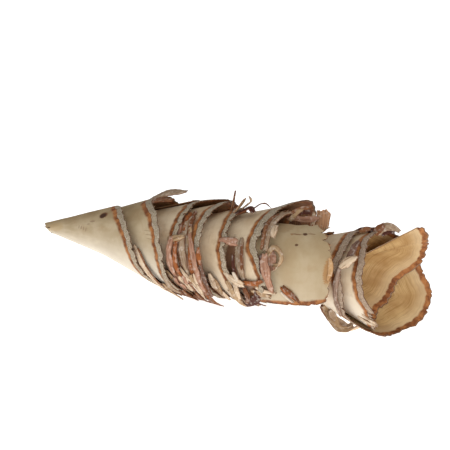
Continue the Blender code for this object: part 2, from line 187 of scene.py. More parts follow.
# one wound sheet with a bark rim, from its table of turn, cone point and rim
def windSheet(piece, material):
    seed = piece["seed"]
    turns = np.arange(piece["first"], piece["last"] + 0.5, piece["step"])
    rim = tableAt(piece["laps"], 2, turns) + wave(turns, piece["wave"])
    coarse, coarseSize = tearing["coarse"]
    fine, fineSize = tearing["fine"]
    nick, nickSize = tearing["nick"]
    torn = coarse * wobble(turns, coarseSize, seed, True) + fine * wobble(turns, fineSize, seed + 1, True)
    torn = torn + nick * np.minimum(wobble(turns, nickSize, seed + 2, True) + tearing["nickFrom"], 0)
    torn = torn * piece["rag"]
    for turn, half, depth in piece["tears"]:
        torn = torn - depth * np.clip(1 - np.abs(turns - turn) / half, 0, 1)
    begin = piece["start"](turns)
    steps = np.array(roll["rimSteps"])[None, :]
    share = np.linspace(0, 1, piece["stations"])[:-1]
    zone = roll["rimZone"]
    inside = begin[:, None] + (rim - zone - begin)[:, None] * share[None, :]
    outside = rim[:, None] - steps + torn[:, None] * (1 - steps / zone) ** 2
    x = np.concatenate([inside, outside], axis=1)
    count = x.shape[1]
    grid = np.repeat(turns[:, None], count, axis=1)
    woodLine = (rim - roll["strip"])[:, None]
    radius = piece["radius"](grid, np.minimum(x, woodLine))
    radius = radius + roll["stripSlope"] * np.maximum(x - woodLine, 0)
    gap = np.full(x.shape, 99.0)
    for k in range(-roll["rimSearch"], roll["rimSearch"] + 1, 2):
        j = np.clip(np.arange(len(turns)) + k, 0, len(turns) - 1)
        arc = (turns[j] - turns)[:, None] * math.pi / 180 * radius
        gap = np.minimum(gap, np.hypot(rim[j][:, None] - x, arc))
    gap = np.where(x > rim[:, None], -gap, gap)
    edgeGap = x[:, -1:] - x
    bark = alongRows(piece["bark"], turns)[:, None]
    across = grid * roll["acrossPerTurn"]
    scaled = gap - bark + barkLook["brownFrom"]      # the same place on every rim, however wide its bark
    inBark = (1 - soft(scaled, 4.0, 4.8)) * (bark > 0)
    (swell, swellSize), (low, lowSize) = sheetRelief["swell"], sheetRelief["ripple"]
    relief = swell * ripple(x, across, swellSize, seed + 5) + low * ripple(x, across, lowSize, seed + 6)
    groove = np.exp(-((scaled - sheetRelief["grooveAt"]) / sheetRelief["grooveWide"]) ** 2)
    relief = relief - sheetRelief["groove"] * groove * (bark > 0)
    big, small = sheetRelief["crustSizes"]
    crust = ripple(x, across, big, seed + 7) + 0.8 * ripple(x, across, small, seed + 8)
    relief = relief + inBark * (sheetRelief["barkRise"] + sheetRelief["crust"] * crust)
    relief = relief - sheetRelief["edgeRound"] * (1 - soft(edgeGap, 0.0, 0.7))
    lift = alongRows(piece["flare"], turns)[:, None] * np.clip(1 - gap / roll["liftReach"], 0, 1) ** 1.6
    wall = roll["thick"] - (roll["thick"] - roll["thickEdge"]) * (1 - soft(gap, 0.0, 3.0))
    ends = np.minimum(np.arange(len(turns)), np.arange(len(turns))[::-1])[:, None]
    sway = 1.6 * wobble(x, 5.0, seed + 9) + 0.7 * wobble(x, 1.7, seed + 10)   # the torn ends, in degrees
    clock = grid + np.clip(1 - ends / 5, 0, 1) * sway
    outer = toFrame(clock, x, radius + relief + lift)
    inner = toFrame(clock, x, radius + lift - wall)
    inner[..., 2] = np.maximum(inner[..., 2], outer[..., 2].min() + 0.45 * mm)
    ring = np.concatenate([outer, inner[:, ::-1]], axis=1)
    faces = bandFaces(len(turns), ring.shape[1])

    def both(front, back):
        return np.concatenate([front, back[:, ::-1]], axis=1)

    place = np.stack([both(x, x), both(grid, grid), both(radius, radius)], -1)
    side = both(np.zeros(x.shape), np.ones(x.shape))
    attributes = [
        ("sheetPlace", "FLOAT_VECTOR", "vector", place),
        ("rimGap", "FLOAT", "value", both(scaled, gap)),
        ("edgeGap", "FLOAT", "value", both(edgeGap, edgeGap)),
        ("faceSide", "FLOAT", "value", side),
    ]
    item = meshObject(piece["name"], ring.reshape(-1, 3), faces, attributes, material)
    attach(item, "root")
    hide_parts(piece["node"])
    leanPoints = toFrame(clock[:, -1], x[:, -1] - 0.3, (radius + lift)[:, -1] - 0.2)
    leanEnds = toFrame(clock[:, -1], x[:, -1] + 1.7, (radius + lift)[:, -1] + 0.4)
    return item, leanPoints, leanEnds - leanPoints


print("helpers ready")


# node helpers
def addNode(tree, kind, values=None, **settings):
    made = tree.nodes.new(kind)
    for key, value in settings.items():
        setattr(made, key, value)
    for key, value in (values or {}).items():
        feed(tree, value, made.inputs[key])
    return made


def feed(tree, value, socket):
    if isinstance(value, bpy.types.NodeSocket):
        tree.links.new(value, socket)
    else:
        socket.default_value = value


def maths(tree, operation, a, b=0.0, c=0.0):
    return addNode(tree, "ShaderNodeMath", {0: a, 1: b, 2: c}, operation=operation).outputs[0]


def times(tree, a, b):
    return maths(tree, "MULTIPLY", a, b)


def plus(tree, a, b):
    return maths(tree, "ADD", a, b)


def minus(tree, a, b):
    return maths(tree, "SUBTRACT", a, b)


def between(tree, value, low, high, start=0.0, end=1.0):
    values = {"Value": value, "From Min": low, "From Max": high, "To Min": start, "To Max": end}
    return addNode(tree, "ShaderNodeMapRange", values, interpolation_type="SMOOTHSTEP").outputs[0]


def tint(tree, factor, a, b, mode="MIX"):
    made = addNode(tree, "ShaderNodeMix", data_type="RGBA", blend_type=mode)
    feed(tree, factor, made.inputs[0])
    feed(tree, a if isinstance(a, bpy.types.NodeSocket) else (*a, 1.0), made.inputs[6])
    feed(tree, b if isinstance(b, bpy.types.NodeSocket) else (*b, 1.0), made.inputs[7])
    return made.outputs[2]


# a tone laid over another by as much as the value rises from low to high
def layer(tree, colour, value, low, high, amount, tone):
    return tint(tree, between(tree, value, low, high, 0.0, amount), colour, tone)


def noiseAt(tree, vector, scale, detail=3.0, roughness=0.55):
    values = {"Vector": vector, "Scale": scale, "Detail": detail, "Roughness": roughness}
    return addNode(tree, "ShaderNodeTexNoise", values).outputs[0]


def stretched(tree, vector, scale, shift=(0.0, 0.0, 0.0)):
    values = {"Vector": vector, "Scale": scale, "Location": shift}
    return addNode(tree, "ShaderNodeMapping", values).outputs[0]


def fieldOf(tree, name, output="Fac"):
    return addNode(tree, "ShaderNodeAttribute", attribute_name=name).outputs[output]


def startMaterial(name, roughness):
    material = bpy.data.materials.new(name)
    material.use_nodes = True
    tree = material.node_tree
    shader = tree.nodes["Principled BSDF"]
    shader.inputs["Roughness"].default_value = roughness
    shader.inputs["Specular IOR Level"].default_value = 0.3
    return material, tree, shader


def reliefInto(tree, shader, height, strength, distance):
    values = {"Height": height, "Strength": strength, "Distance": distance * mm}
    tree.links.new(addNode(tree, "ShaderNodeBump", values).outputs[0], shader.inputs["Normal"])


def shavingMaterial(look):
    material, tree, shader = startMaterial(look["name"], 0.68)
    place = fieldOf(tree, "sheetPlace", "Vector")
    parts = addNode(tree, "ShaderNodeSeparateXYZ", {0: place})
    x, turn = parts.outputs[0], parts.outputs[1]
    across = times(tree, turn, roll["acrossPerTurn"])
    flat = addNode(tree, "ShaderNodeCombineXYZ", {0: x, 1: across, 2: look["seed"]}).outputs[0]
    blotch = noiseAt(tree, flat, 0.055, 3.0)
    cloud = noiseAt(tree, flat, 0.21, 4.0)
    gap = fieldOf(tree, "rimGap")
    grain = addNode(tree, "ShaderNodeCombineXYZ", {0: gap, 1: across, 2: look["seed"] + 3.0}).outputs[0]
    # fibres run beside the rim
    streak = noiseAt(tree, stretched(tree, grain, (0.75, 0.03, 1.0)), 1.0, 3.0, 0.6)
    fine = noiseAt(tree, stretched(tree, grain, (1.9, 0.05, 1.0)), 1.0, 2.0, 0.6)
    fleck = noiseAt(tree, stretched(tree, flat, (0.5, 2.2, 1.0)), 1.0, 2.0, 0.5)

    outer = tint(tree, between(tree, blotch, 0.32, 0.68), look["woodDark"], look["woodLight"])
    outer = layer(tree, outer, streak, 0.5, 0.85, 0.35, look["woodGrain"])
    outer = layer(tree, outer, fleck, 0.66, 0.8, 0.4, look["woodGrain"])
    outer = layer(tree, outer, cloud, 0.55, 0.8, 0.35, look["woodLight"])
    outer = layer(tree, outer, noiseAt(tree, flat, 0.1, 5.0, 0.7), 0.5, 0.75, 0.45, look["woodGrain"])
    inner = tint(tree, between(tree, blotch, 0.3, 0.7), look["innerDark"], look["innerLight"])
    inner = layer(tree, inner, streak, 0.5, 0.75, 0.6, look["innerGrain"])
    inner = layer(tree, inner, fine, 0.5, 0.66, 0.6, look["innerGrain"])
    inner = tint(tree, between(tree, gap, 4.0, 14.0, look["paleRim"], 0.0), inner, look["rimTone"])
    side = fieldOf(tree, "faceSide")
    inward = between(tree, side, 0.35, 0.65)
    clock = maths(tree, "FLOORED_MODULO", turn, 360.0)
    # painted light: the lower side of the roll is made paler, by clock angle
    lowLightMask = times(tree, between(tree, clock, 55.0, 150.0), between(tree, clock, 170.0, 230.0, 1.0, 0.0))
    outer = tint(tree, times(tree, lowLightMask, look["paleLow"]), outer, look["lowLightPaint"])
    # painted shade: the top of the roll is made darker, by clock angle
    topShadeMask = plus(tree, between(tree, clock, 0.0, 75.0, 1.0, 0.0), between(tree, clock, 290.0, 350.0))
    topShadeMask = times(tree, maths(tree, "MINIMUM", topShadeMask, 1.0), look["darkTop"])
    outer = tint(tree, topShadeMask, outer, look["topShadePaint"], "MULTIPLY")
    wood = tint(tree, inward, outer, inner)
    for turnAt, xAt, along, wide, colour, strength in look["marks"]:
        du = times(tree, minus(tree, x, xAt), 1 / along)
        dv = times(tree, minus(tree, turn, turnAt), roll["acrossPerTurn"] / wide)
        far = maths(tree, "SQRT", plus(tree, times(tree, du, du), times(tree, dv, dv)))
        far = plus(tree, far, times(tree, minus(tree, fleck, 0.5), 1.1))
        wood = tint(tree, between(tree, far, 0.75, 1.15, strength, 0.0), wood, colour)

    edgeGap = fieldOf(tree, "edgeGap")
    drift = times(tree, minus(tree, cloud, 0.5), 1.6)
    drift = plus(tree, drift, times(tree, minus(tree, fleck, 0.5), 0.5))
    bent = plus(tree, gap, drift)
    brown = tint(tree, between(tree, cloud, 0.35, 0.65), barkLook["brownDark"], barkLook["brownLight"])
    brown = layer(tree, brown, fine, 0.55, 0.75, 0.5, barkLook["brownDark"])
    brownTo, brownInside = barkLook["brownTo"], barkLook["brownInside"]
    outerBrown = layer(tree, brown, bent, brownTo - 0.7, brownTo + 1.5, 1.0, wood)
    innerBrown = layer(tree, brown, bent, brownInside - 0.5, brownInside + 0.7, 1.0, wood)

    crust = noiseAt(tree, flat, 0.9, 4.0, 0.65)
    patch = noiseAt(tree, flat, 0.16, 2.0)
    bark = tint(tree, between(tree, crust, 0.35, 0.68), look["barkDark"], look["barkLight"])
    bark = layer(tree, bark, patch, 0.42, 0.62, 0.75, look["barkPatch"])
    cells = {"Vector": stretched(tree, flat, (0.9, 0.45, 1.0)), "Scale": 1.0}
    cell = addNode(tree, "ShaderNodeTexVoronoi", cells, feature="DISTANCE_TO_EDGE").outputs[0]
    bark = tint(tree, between(tree, cell, 0.015, 0.09, 0.55, 0.0), bark, barkLook["crack"])
    barkIn = between(tree, bent, barkLook["brownFrom"] - 0.35, barkLook["brownFrom"] + 0.15)
    outerRim = tint(tree, barkIn, bark, outerBrown)
    lineDark = maths(tree, "ABSOLUTE", minus(tree, bent, barkLook["brownFrom"] + 0.1))
    outerRim = tint(tree, between(tree, lineDark, 0.0, 0.4, 0.65, 0.0), outerRim, barkLook["edge"])
    innerRim = tint(tree, between(tree, bent, 0.3, 0.8), look["barkDark"], innerBrown)
    colour = tint(tree, inward, outerRim, innerRim)
    # the rim's torn edge and the sheet's end face darker: partly the bark's own dark edge, partly painted
    # shade where the rim stands over the next lap
    colour = tint(tree, between(tree, edgeGap, 0.1, 0.5, 0.85, 0.0), colour, barkLook["edge"])
    middle = maths(tree, "ABSOLUTE", minus(tree, side, 0.5))
    colour = tint(tree, between(tree, middle, 0.1, 0.45, 0.7, 0.0), colour, barkLook["brownDark"])
    tree.links.new(colour, shader.inputs["Base Color"])
    height = plus(tree, times(tree, streak, 0.5), times(tree, fine, 0.5))
    rougher = times(tree, crust, 3.0)
    outerHeight = addNode(tree, "ShaderNodeMix", data_type="FLOAT")
    feed(tree, plus(tree, barkIn, inward), outerHeight.inputs[0])
    feed(tree, rougher, outerHeight.inputs[2])
    feed(tree, height, outerHeight.inputs[3])
    reliefInto(tree, shader, outerHeight.outputs[0], 0.5, 0.12)
    return material


stripLook = {
    "streakTone": (0.40, 0.30, 0.24), "paleTone": (0.85, 0.78, 0.68), "step": 0.9, "wall": 0.6,
    "columns": 9, "headReach": 2.4, "tailReach": 3.2, "lump": 0.12,
    "sliverDark": (0.30, 0.13, 0.05), "sliverLight": (0.70, 0.52, 0.33),
}


def stripMaterial(name):
    material, tree, shader = startMaterial(name, 0.75)
    place = fieldOf(tree, "stripPlace", "Vector")
    front = fieldOf(tree, "frontTint", "Color")
    back = fieldOf(tree, "backTint", "Color")
    side = fieldOf(tree, "faceSide")
    edgeGap = fieldOf(tree, "edgeGap")
    streak = noiseAt(tree, stretched(tree, place, (0.09, 1.1, 1.0)), 1.0, 4.0, 0.65)
    cloud = noiseAt(tree, place, 0.38, 3.0)
    base = tint(tree, between(tree, side, 0.35, 0.65), front, back)
    dark = tint(tree, 1.0, base, stripLook["streakTone"], "MULTIPLY")
    light = tint(tree, 0.35, base, stripLook["paleTone"])
    colour = layer(tree, base, streak, 0.46, 0.66, 0.85, dark)
    colour = layer(tree, colour, cloud, 0.5, 0.68, 0.75, light)
    rag = plus(tree, edgeGap, times(tree, minus(tree, cloud, 0.5), 0.8))
    colour = tint(tree, between(tree, rag, 0.0, 0.4, 0.45, 0.0), colour, barkLook["brownDark"])
    tree.links.new(colour, shader.inputs["Base Color"])
    reliefInto(tree, shader, plus(tree, streak, cloud), 0.6, 0.15)
    return material


tints = {
    "lilac": (0.32, 0.21, 0.15), "pink": (0.42, 0.22, 0.14),
    "tan": (0.43, 0.28, 0.15), "cream": (0.66, 0.50, 0.34), "white": (0.76, 0.64, 0.50),
    "orange": (0.32, 0.095, 0.02), "brown": (0.17, 0.06, 0.02), "red": (0.075, 0.018, 0.008),
    "violet": (0.17, 0.09, 0.06), "rust": (0.24, 0.10, 0.04), "copper": (0.47, 0.25, 0.13),
    "honey": (0.62, 0.37, 0.17), "grey": (0.36, 0.25, 0.16),
}


def smoothPath(points, step):
    points = np.asarray(points, float)
    padded = np.vstack([2 * points[0] - points[1], points, 2 * points[-1] - points[-2]])
    made = []
    for i in range(1, len(padded) - 2):
        a, b, c, d = padded[i - 1:i + 3]
        count = max(2, int(np.linalg.norm((c - b)[:3]) / step))
        for u in np.arange(count) / count:
            made.append(0.5 * (2 * b + (c - a) * u + (2 * a - 5 * b + 4 * c - d) * u * u
                               + (3 * b - a - 3 * c + d) * u ** 3))
    made.append(points[-1])
    return np.array(made)


# torn strips, each a ragged ribbon along its path: point in the roll, width, thickness and facing
def tornStrips(name, strips, node, material):
    verts, faces, place, gaps, sides, fronts, backs = [], [], [], [], [], [], []
    for number, strip in enumerate(strips):
        path = smoothPath(strip["path"], stripLook["step"])
        seed = 40 + 13 * number + len(name)
        centre, width, thick = path[:, :3], path[:, 3], path[:, 4]
        ahead = np.gradient(centre, axis=0)
        ahead = ahead / np.linalg.norm(ahead, axis=1)[:, None]
        face = path[:, 5:8] - ahead * np.sum(path[:, 5:8] * ahead, axis=1)[:, None]
        face = face / np.linalg.norm(face, axis=1)[:, None]
        across = np.cross(ahead, face)
        run = np.concatenate([[0], np.cumsum(np.linalg.norm(np.diff(centre, axis=0), axis=1))])
        shares = np.linspace(-1, 1, stripLook["columns"])
        left = 1 + 0.30 * wobble(run, 6.1, seed, True) + 0.10 * wobble(run, 1.9, seed + 1, True)
        right = 1 + 0.30 * wobble(run, 5.3, seed + 2, True) + 0.10 * wobble(run, 1.7, seed + 3, True)
        tail = np.clip((run - run[-1] + stripLook["tailReach"]) / stripLook["tailReach"], 0, 1)
        head = np.clip(1 - run / stripLook["headReach"], 0, 1)
        base = len(verts)
        layers = []
        for side in (0, 1):
            for s in (shares if side == 0 else shares[::-1]):
                half = 0.5 * width * (left if s < 0 else right)
                stick = wobble(s * 4 + 11, 0.9, seed + 4) * 1.6
                shiftAlong = tail * stick + head * wobble(s * 4 + 31, 0.9, seed + 5) * 1.0
                cup = strip["cup"] * (0.5 - s * s) * width * 0.5
                bumpy = stripLook["lump"] * ripple(run, s * width * 0.5, 3.0, seed + 6)
                level = 0.5 * thick * (1 - 0.25 * s ** 4) * (1 if side == 0 else -1)
                point = centre + across * (half * s)[:, None] + face * (level + cup + bumpy)[:, None]
                layers.append(point + ahead * shiftAlong[:, None])
        count = len(layers)
        block = np.stack(layers, axis=1)
        block[..., 2] = np.maximum(block[..., 2], roll["floor"])
        verts.extend(((block + np.array(roll["shift"])) * mm).reshape(-1, 3))
        rows = len(run)
        faces += bandFaces(rows, count, base)
        signs = np.concatenate([shares, shares[::-1]])
        alongGrid = np.repeat(run[:, None], count, axis=1)
        acrossGrid = signs[None, :] * width[:, None] * 0.5
        apart = np.full(alongGrid.shape, seed * 3.1)
        place.append(np.stack([alongGrid, acrossGrid, apart], -1).reshape(-1, 3))
        sideways = (1 - np.abs(signs))[None, :] * width[:, None] * 0.5
        gaps.append(np.minimum(sideways, (run[-1] - run)[:, None] + 0.05).ravel())
        sides.append(np.tile(np.repeat([0.0, 1.0], stripLook["columns"]), rows))
        fronts.append(np.tile([*tints[strip["front"]], 1.0], (rows * count, 1)))
        backs.append(np.tile([*tints[strip["back"]], 1.0], (rows * count, 1)))
    attributes = [
        ("stripPlace", "FLOAT_VECTOR", "vector", np.vstack(place)),
        ("edgeGap", "FLOAT", "value", np.concatenate(gaps)),
        ("faceSide", "FLOAT", "value", np.concatenate(sides)),
        ("frontTint", "FLOAT_COLOR", "color", np.vstack(fronts)),
        ("backTint", "FLOAT_COLOR", "color", np.vstack(backs)),
    ]
    item = meshObject(name, verts, faces, attributes, material)
    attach(item, "root")
    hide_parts(node)
    return item


def outward(clock):
    angle = math.radians(clock)
    return (0.0, -math.sin(angle), math.cos(angle))


def rollPoint(clock, x, radius):
    out = outward(clock)
    return (x, out[1] * radius, float(axisAt(x)) + out[2] * radius)


# a strip that stands free: rows are clock, x, radius, width and thickness
def freeStrip(front, back, cup, rows, stand="out", tilt=0):
    path = []
    turned = 90 if stand == "across" else 0
    for clock, x, radius, width, thick in rows:
        face = (1.0, 0.0, 0.0) if stand == "along" else outward(clock + turned + tilt)
        path.append((*rollPoint(clock, x, radius), width, thick, *face))
    return {"path": path, "front": front, "back": back, "cup": cup}


# a strip that lies on a lap: rows are turn, x, height over the lap and width
def lyingStrip(piece, front, back, cup, rows, tilt=0):
    path = []
    for turn, x, height, width in rows:
        radius = float(piece["radius"](np.array([turn]), np.array([x]))[0]) + height
        path.append((*rollPoint(turn, x, radius), width, stripLook["wall"], *outward(turn + tilt)))
    return {"path": path, "front": front, "back": back, "cup": cup}


# a fan of torn slats side by side over a lap, between two borders of turn and x
def slatFan(piece, fan):
    draw = np.random.RandomState(fan["seed"])
    low, high = fan["turns"]
    made = []
    for k in range(fan["count"]):
        share = (k + 0.5) / fan["count"]
        cut = draw.uniform(0.35, 0.65) * (high - low) + low
        for start, end in ((low + draw.uniform(0, 14), cut), (cut - 4, high - draw.uniform(0, 12))):
            front = fan["tints"][draw.randint(len(fan["tints"]))]
            lift = draw.uniform(*fan["height"])
            width = fan["width"] * draw.uniform(0.75, 1.2)
            rows = []
            for turn in np.linspace(start, end, 5):
                left, right = alongRows(fan["borders"], turn), alongRows(fan["borders"], turn, 2)
                x = left + share * (right - left) + draw.uniform(-0.7, 0.7)
                taper = 0.6 if turn in (start, end) else 1.0
                rows.append((turn, x, lift + draw.uniform(-0.3, 0.3), width * taper))
            made.append(lyingStrip(piece, front, fan["back"], 0.12, rows, tilt=draw.uniform(-14, 14)))
    return made


# short dark rags along the underside, each from its row of x and radius
def rags(rows, clock, front, back, seed):
    draw = np.random.RandomState(seed)
    made = []
    for x, radius in rows:
        reach, out = draw.uniform(4, 7), draw.uniform(0.3, 1.0)
        at = clock + draw.uniform(-4, 4)
        made.append(freeStrip(front, back, 0.1, [
            (at - 12, x - 0.2 * reach, radius - 1.2, 2.2, 0.9), (at - 4, x + 0.2 * reach, radius, 3.2, 0.8),
            (at + 3, x + 0.6 * reach, radius + 0.5 * out, 2.6, 0.7),
            (clock + 8, x + reach, radius + out, 1.0, 0.7),
        ]))
    return made


# a table's strips: front, back and inner cup, then rows of five numbers (free) or four (on a lap)
def stripsOf(shaving, table):
    made = []
    for entry in table:
        if isinstance(entry, tuple):
            free = len(entry[3][0]) == 5
            made.append(freeStrip(*entry) if free else lyingStrip(shaving, *entry))
        elif "path" in entry:
            made.append(entry)
        else:
            made += slatFan(shaving, entry)
    return made


# the rim's loose fibres: one sliver on a share of the rim's points
def splinterTree():
    tree = bpy.data.node_groups.new("rimSplinters", "GeometryNodeTree")
    tree.interface.new_socket("Geometry", in_out="INPUT", socket_type="NodeSocketGeometry")
    inputs = (("Share", "NodeSocketFloat", 0.3), ("Length", "NodeSocketFloat", 0.0016),
              ("Width", "NodeSocketFloat", 0.0004), ("Spread", "NodeSocketFloat", 0.8),
              ("Seed", "NodeSocketInt", 1), ("Material", "NodeSocketMaterial", None))
    for name, kind, value in inputs:
        socket = tree.interface.new_socket(name, in_out="INPUT", socket_type=kind)
        if value is not None:
            socket.default_value = value
    tree.interface.new_socket("Geometry", in_out="OUTPUT", socket_type="NodeSocketGeometry")
    start = tree.nodes.new("NodeGroupInput").outputs
    seed = start["Seed"]
    chosen = addNode(tree, "FunctionNodeRandomValue", {6: start["Share"], 8: seed}, data_type="BOOLEAN")
    lean = addNode(tree, "GeometryNodeInputNamedAttribute", {"Name": "lean"}, data_type="FLOAT_VECTOR")
    ends = {0: (-1, -1, -1), 1: (1, 1, 1), 8: seed}
    scatter = addNode(tree, "FunctionNodeRandomValue", ends, data_type="FLOAT_VECTOR")
    spread = {0: scatter.outputs[0], "Scale": start["Spread"]}
    apart = addNode(tree, "ShaderNodeVectorMath", spread, operation="SCALE")
    way = addNode(tree, "ShaderNodeVectorMath", {0: lean.outputs[0]}, operation="NORMALIZE")
    aim = addNode(tree, "ShaderNodeVectorMath", {0: way.outputs[0], 1: apart.outputs[0]}, operation="ADD")
    turned = addNode(tree, "FunctionNodeAlignRotationToVector", {"Vector": aim.outputs[0]}, axis="Z")
    factor = addNode(tree, "FunctionNodeRandomValue", {2: 0.35, 3: 1.3, 8: seed}, data_type="FLOAT")
    length = times(tree, start["Length"], factor.outputs[1])
    flatter = times(tree, start["Width"], 0.4)
    size = addNode(tree, "ShaderNodeCombineXYZ", {0: start["Width"], 1: flatter, 2: length})
    splint = {"Vertices": 5, "Radius Top": 0.12, "Radius Bottom": 0.5, "Depth": 1.0}
    cone = addNode(tree, "GeometryNodeMeshCone", splint)
    placed = addNode(tree, "GeometryNodeInstanceOnPoints", {
        "Points": start["Geometry"], "Selection": chosen.outputs[3], "Instance": cone.outputs[0],
        "Rotation": turned.outputs[0], "Scale": size.outputs[0]})
    real = addNode(tree, "GeometryNodeRealizeInstances", {"Geometry": placed.outputs[0]})
    paint = {"Geometry": real.outputs[0], "Material": start["Material"]}
    painted = addNode(tree, "GeometryNodeSetMaterial", paint)
    end = tree.nodes.new("NodeGroupOutput")
    tree.links.new(painted.outputs[0], end.inputs[0])
    return tree


def socketOf(tree, name):
    for item in tree.interface.items_tree:
        if item.item_type == "SOCKET" and item.in_out == "INPUT" and item.name == name:
            return item.identifier


def growSplinters(name, tree, points, leans, values):
    mesh = bpy.data.meshes.new(name + "_points")
    mesh.from_pydata(points.tolist(), [], [])
    made = mesh.attributes.new("lean", "FLOAT_VECTOR", "POINT")
    made.data.foreach_set("vector", np.asarray(leans, np.float32).ravel())
    item = show(name, mesh)
    grow = item.modifiers.new("grow", "NODES")
    grow.node_group = tree
    for key, value in values.items():
        grow[socketOf(tree, key)] = value
    bpy.context.view_layer.update()
    graph = bpy.context.evaluated_depsgraph_get()
    plain = bpy.data.meshes.new_from_object(item.evaluated_get(graph))
    item.modifiers.remove(grow)
    item.data = plain
    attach(item, "root")
    return item


def splinterMaterial(name):
    material, tree, shader = startMaterial(name, 0.7)
    here = addNode(tree, "ShaderNodeTexCoord").outputs["Object"]
    mixed = noiseAt(tree, here, 900.0, 2.0)
    colour = tint(tree, between(tree, mixed, 0.35, 0.65), stripLook["sliverDark"], stripLook["sliverLight"])
    tree.links.new(colour, shader.inputs["Base Color"])
    return material


def faceRadius(turns, x):
    point = tableAt(faceShaving["laps"], 1, turns)
    bend = faceShaving["bendAt"]
    near = roll["slope"] * (np.minimum(x, bend) - point)
    return near + tableAt(faceShaving["looseSlope"], 1, turns) * np.maximum(x - bend, 0)


def mouthSlopeAt(turns):
    return tableAt(mouthShaving["slopes"], 1, turns)


def mouthRadius(turns, x):
    return mouthSlopeAt(turns) * (x - tableAt(mouthShaving["laps"], 1, turns))


def tipRadius(turns, x):
    share = (tipShaving["bluntTo"] - x) / (tipShaving["bluntTo"] - tipShaving["bluntFrom"])
    cone = roll["slope"] * (x - tableAt(tipShaving["laps"], 1, turns))
    return cone + tipShaving["blunt"] * np.clip(share, 0, 1)


def tipStart(turns):
    grow = np.clip((turns - 200) / 200, 0, 1)
    radius = tipShaving["pointRadius"] + grow * (roll["core"] - tipShaving["pointRadius"])
    return tableAt(tipShaving["laps"], 1, turns) + radius / roll["slope"] + 0.7 * wobble(turns, 9, 5)


def mouthStart(turns):
    return tableAt(mouthShaving["laps"], 1, turns) + roll["core"] / mouthSlopeAt(turns)


# the shavings: rows of laps are turn, x of the cone's point and x of the rim
tipShaving = {
    "name": "tipShaving", "node": "shaving_1_tip", "slot": "tip_wood", "first": 10, "last": 700, "step": 1,
    "stations": 22, "seed": 11, "wave": 1, "rag": 1, "pointRadius": 1.4, "blunt": 3.7, "bluntFrom": -170,
    "bluntTo": -110,
    "laps": [
        (10, -175, -99), (45, -173, -85), (75, -171, -74), (105, -168, -67), (122, -166.6, -62),
        (134, -165.6, -57), (144, -165, -52.5), (156, -164.2, -51.5), (175, -163.4, -53), (225, -163, -58),
        (285, -163, -63), (345, -163, -69), (366, -162.5, -72), (375, -162, -68), (390, -160.5, -61),
        (405, -158, -55), (420, -155, -50), (442, -151, -46), (466, -149.9, -43), (482, -149.6, -39.5),
        (494, -149.4, -34), (504, -149.2, -29), (516, -149, -28), (535, -148.6, -30), (560, -147, -33.5),
        (620, -142, -38), (700, -139, -40),
    ],
    "start": tipStart,
    "bark": [(10, 3.6), (40, 4.4), (360, 4.6), (700, 4.4)],
    "flare": [
        (10, 0.2), (90, 0.4), (112, 0), (126, -1), (136, -2.2), (146, -3), (160, -2.6), (180, -1), (200, 0),
        (360, 0.3), (450, 0.6), (470, 0.2), (484, -1), (496, -2.5), (506, -3.2), (518, -3), (540, -1.5),
        (560, 0), (700, 0.4),
    ],
    "tears": [
        (58, 2.2, 1.6), (84, 1.6, 1.1), (101, 2.5, 1.4), (118, 1.5, 1.8), (131, 2, 1.2), (428, 2, 1),
        (449, 1.8, 1.4), (463, 1.2, 1.8), (140, 2, 1.6), (152, 1.5, 2.2), (170, 2, 1.6), (240, 3, 2.5),
    ],
}
tipShaving["radius"] = tipRadius
bandShaving = {
    "name": "bandShaving", "node": "shaving_2_bands", "slot": "band_wood", "first": 630, "last": 1350,
    "step": 1, "stations": 15, "seed": 23, "wave": 2, "rag": 1,
    "laps": [
        (630, -135.5, -22), (655, -134.9, -16), (675, -134.3, -17.5), (692, -133.8, -27), (705, -133.5, -37),
        (715, -133.2, -39), (730, -132.7, -37.6), (772, -131, -38.6), (800, -130, -36), (825, -129.2, -32.5),
        (842, -128.4, -27.5), (856, -127.7, -21.5), (868, -127.2, -19), (885, -126.6, -20), (950, -124, -22),
        (1010, -122, -19), (1060, -120.5, -14.5), (1075, -120, -15), (1090, -119.3, -18),
        (1110, -118.5, -19.5), (1146, -117, -17.3), (1180, -115.5, -13.5), (1198, -114.6, -9),
        (1212, -114, -5), (1226, -113.5, -4), (1245, -112.8, -5), (1300, -110.5, -5), (1350, -108.6, -5),
    ],
    "bark": [(630, 4.2), (740, 4), (1075, 5.6), (1110, 5), (1150, 4.4), (1350, 4.4)],
    "flare": [
        (630, 0.4), (700, 0.9), (745, 0.7), (800, 0.8), (830, 0.3), (845, 0), (885, 0), (930, 0.3), (1060, 1),
        (1090, 0.8), (1140, 0.4), (1190, 0), (1208, -2), (1226, -3.2), (1245, -2), (1270, 0), (1350, 0.2),
    ],
    "tears": [
        (742, 2, 2.2), (760, 2, 1.6), (786, 3, 2.4), (812, 2, 2.6), (1104, 2.5, 1.2), (1126, 1.5, 1.5),
        (1163, 2.5, 2), (1188, 2, 2.5), (1206, 2, 2), (900, 3, 2), (990, 3, 2),
    ],
}
bandShaving["radius"] = coneRadius(bandShaving["laps"])
bandShaving["start"] = coreStart(bandShaving["laps"])
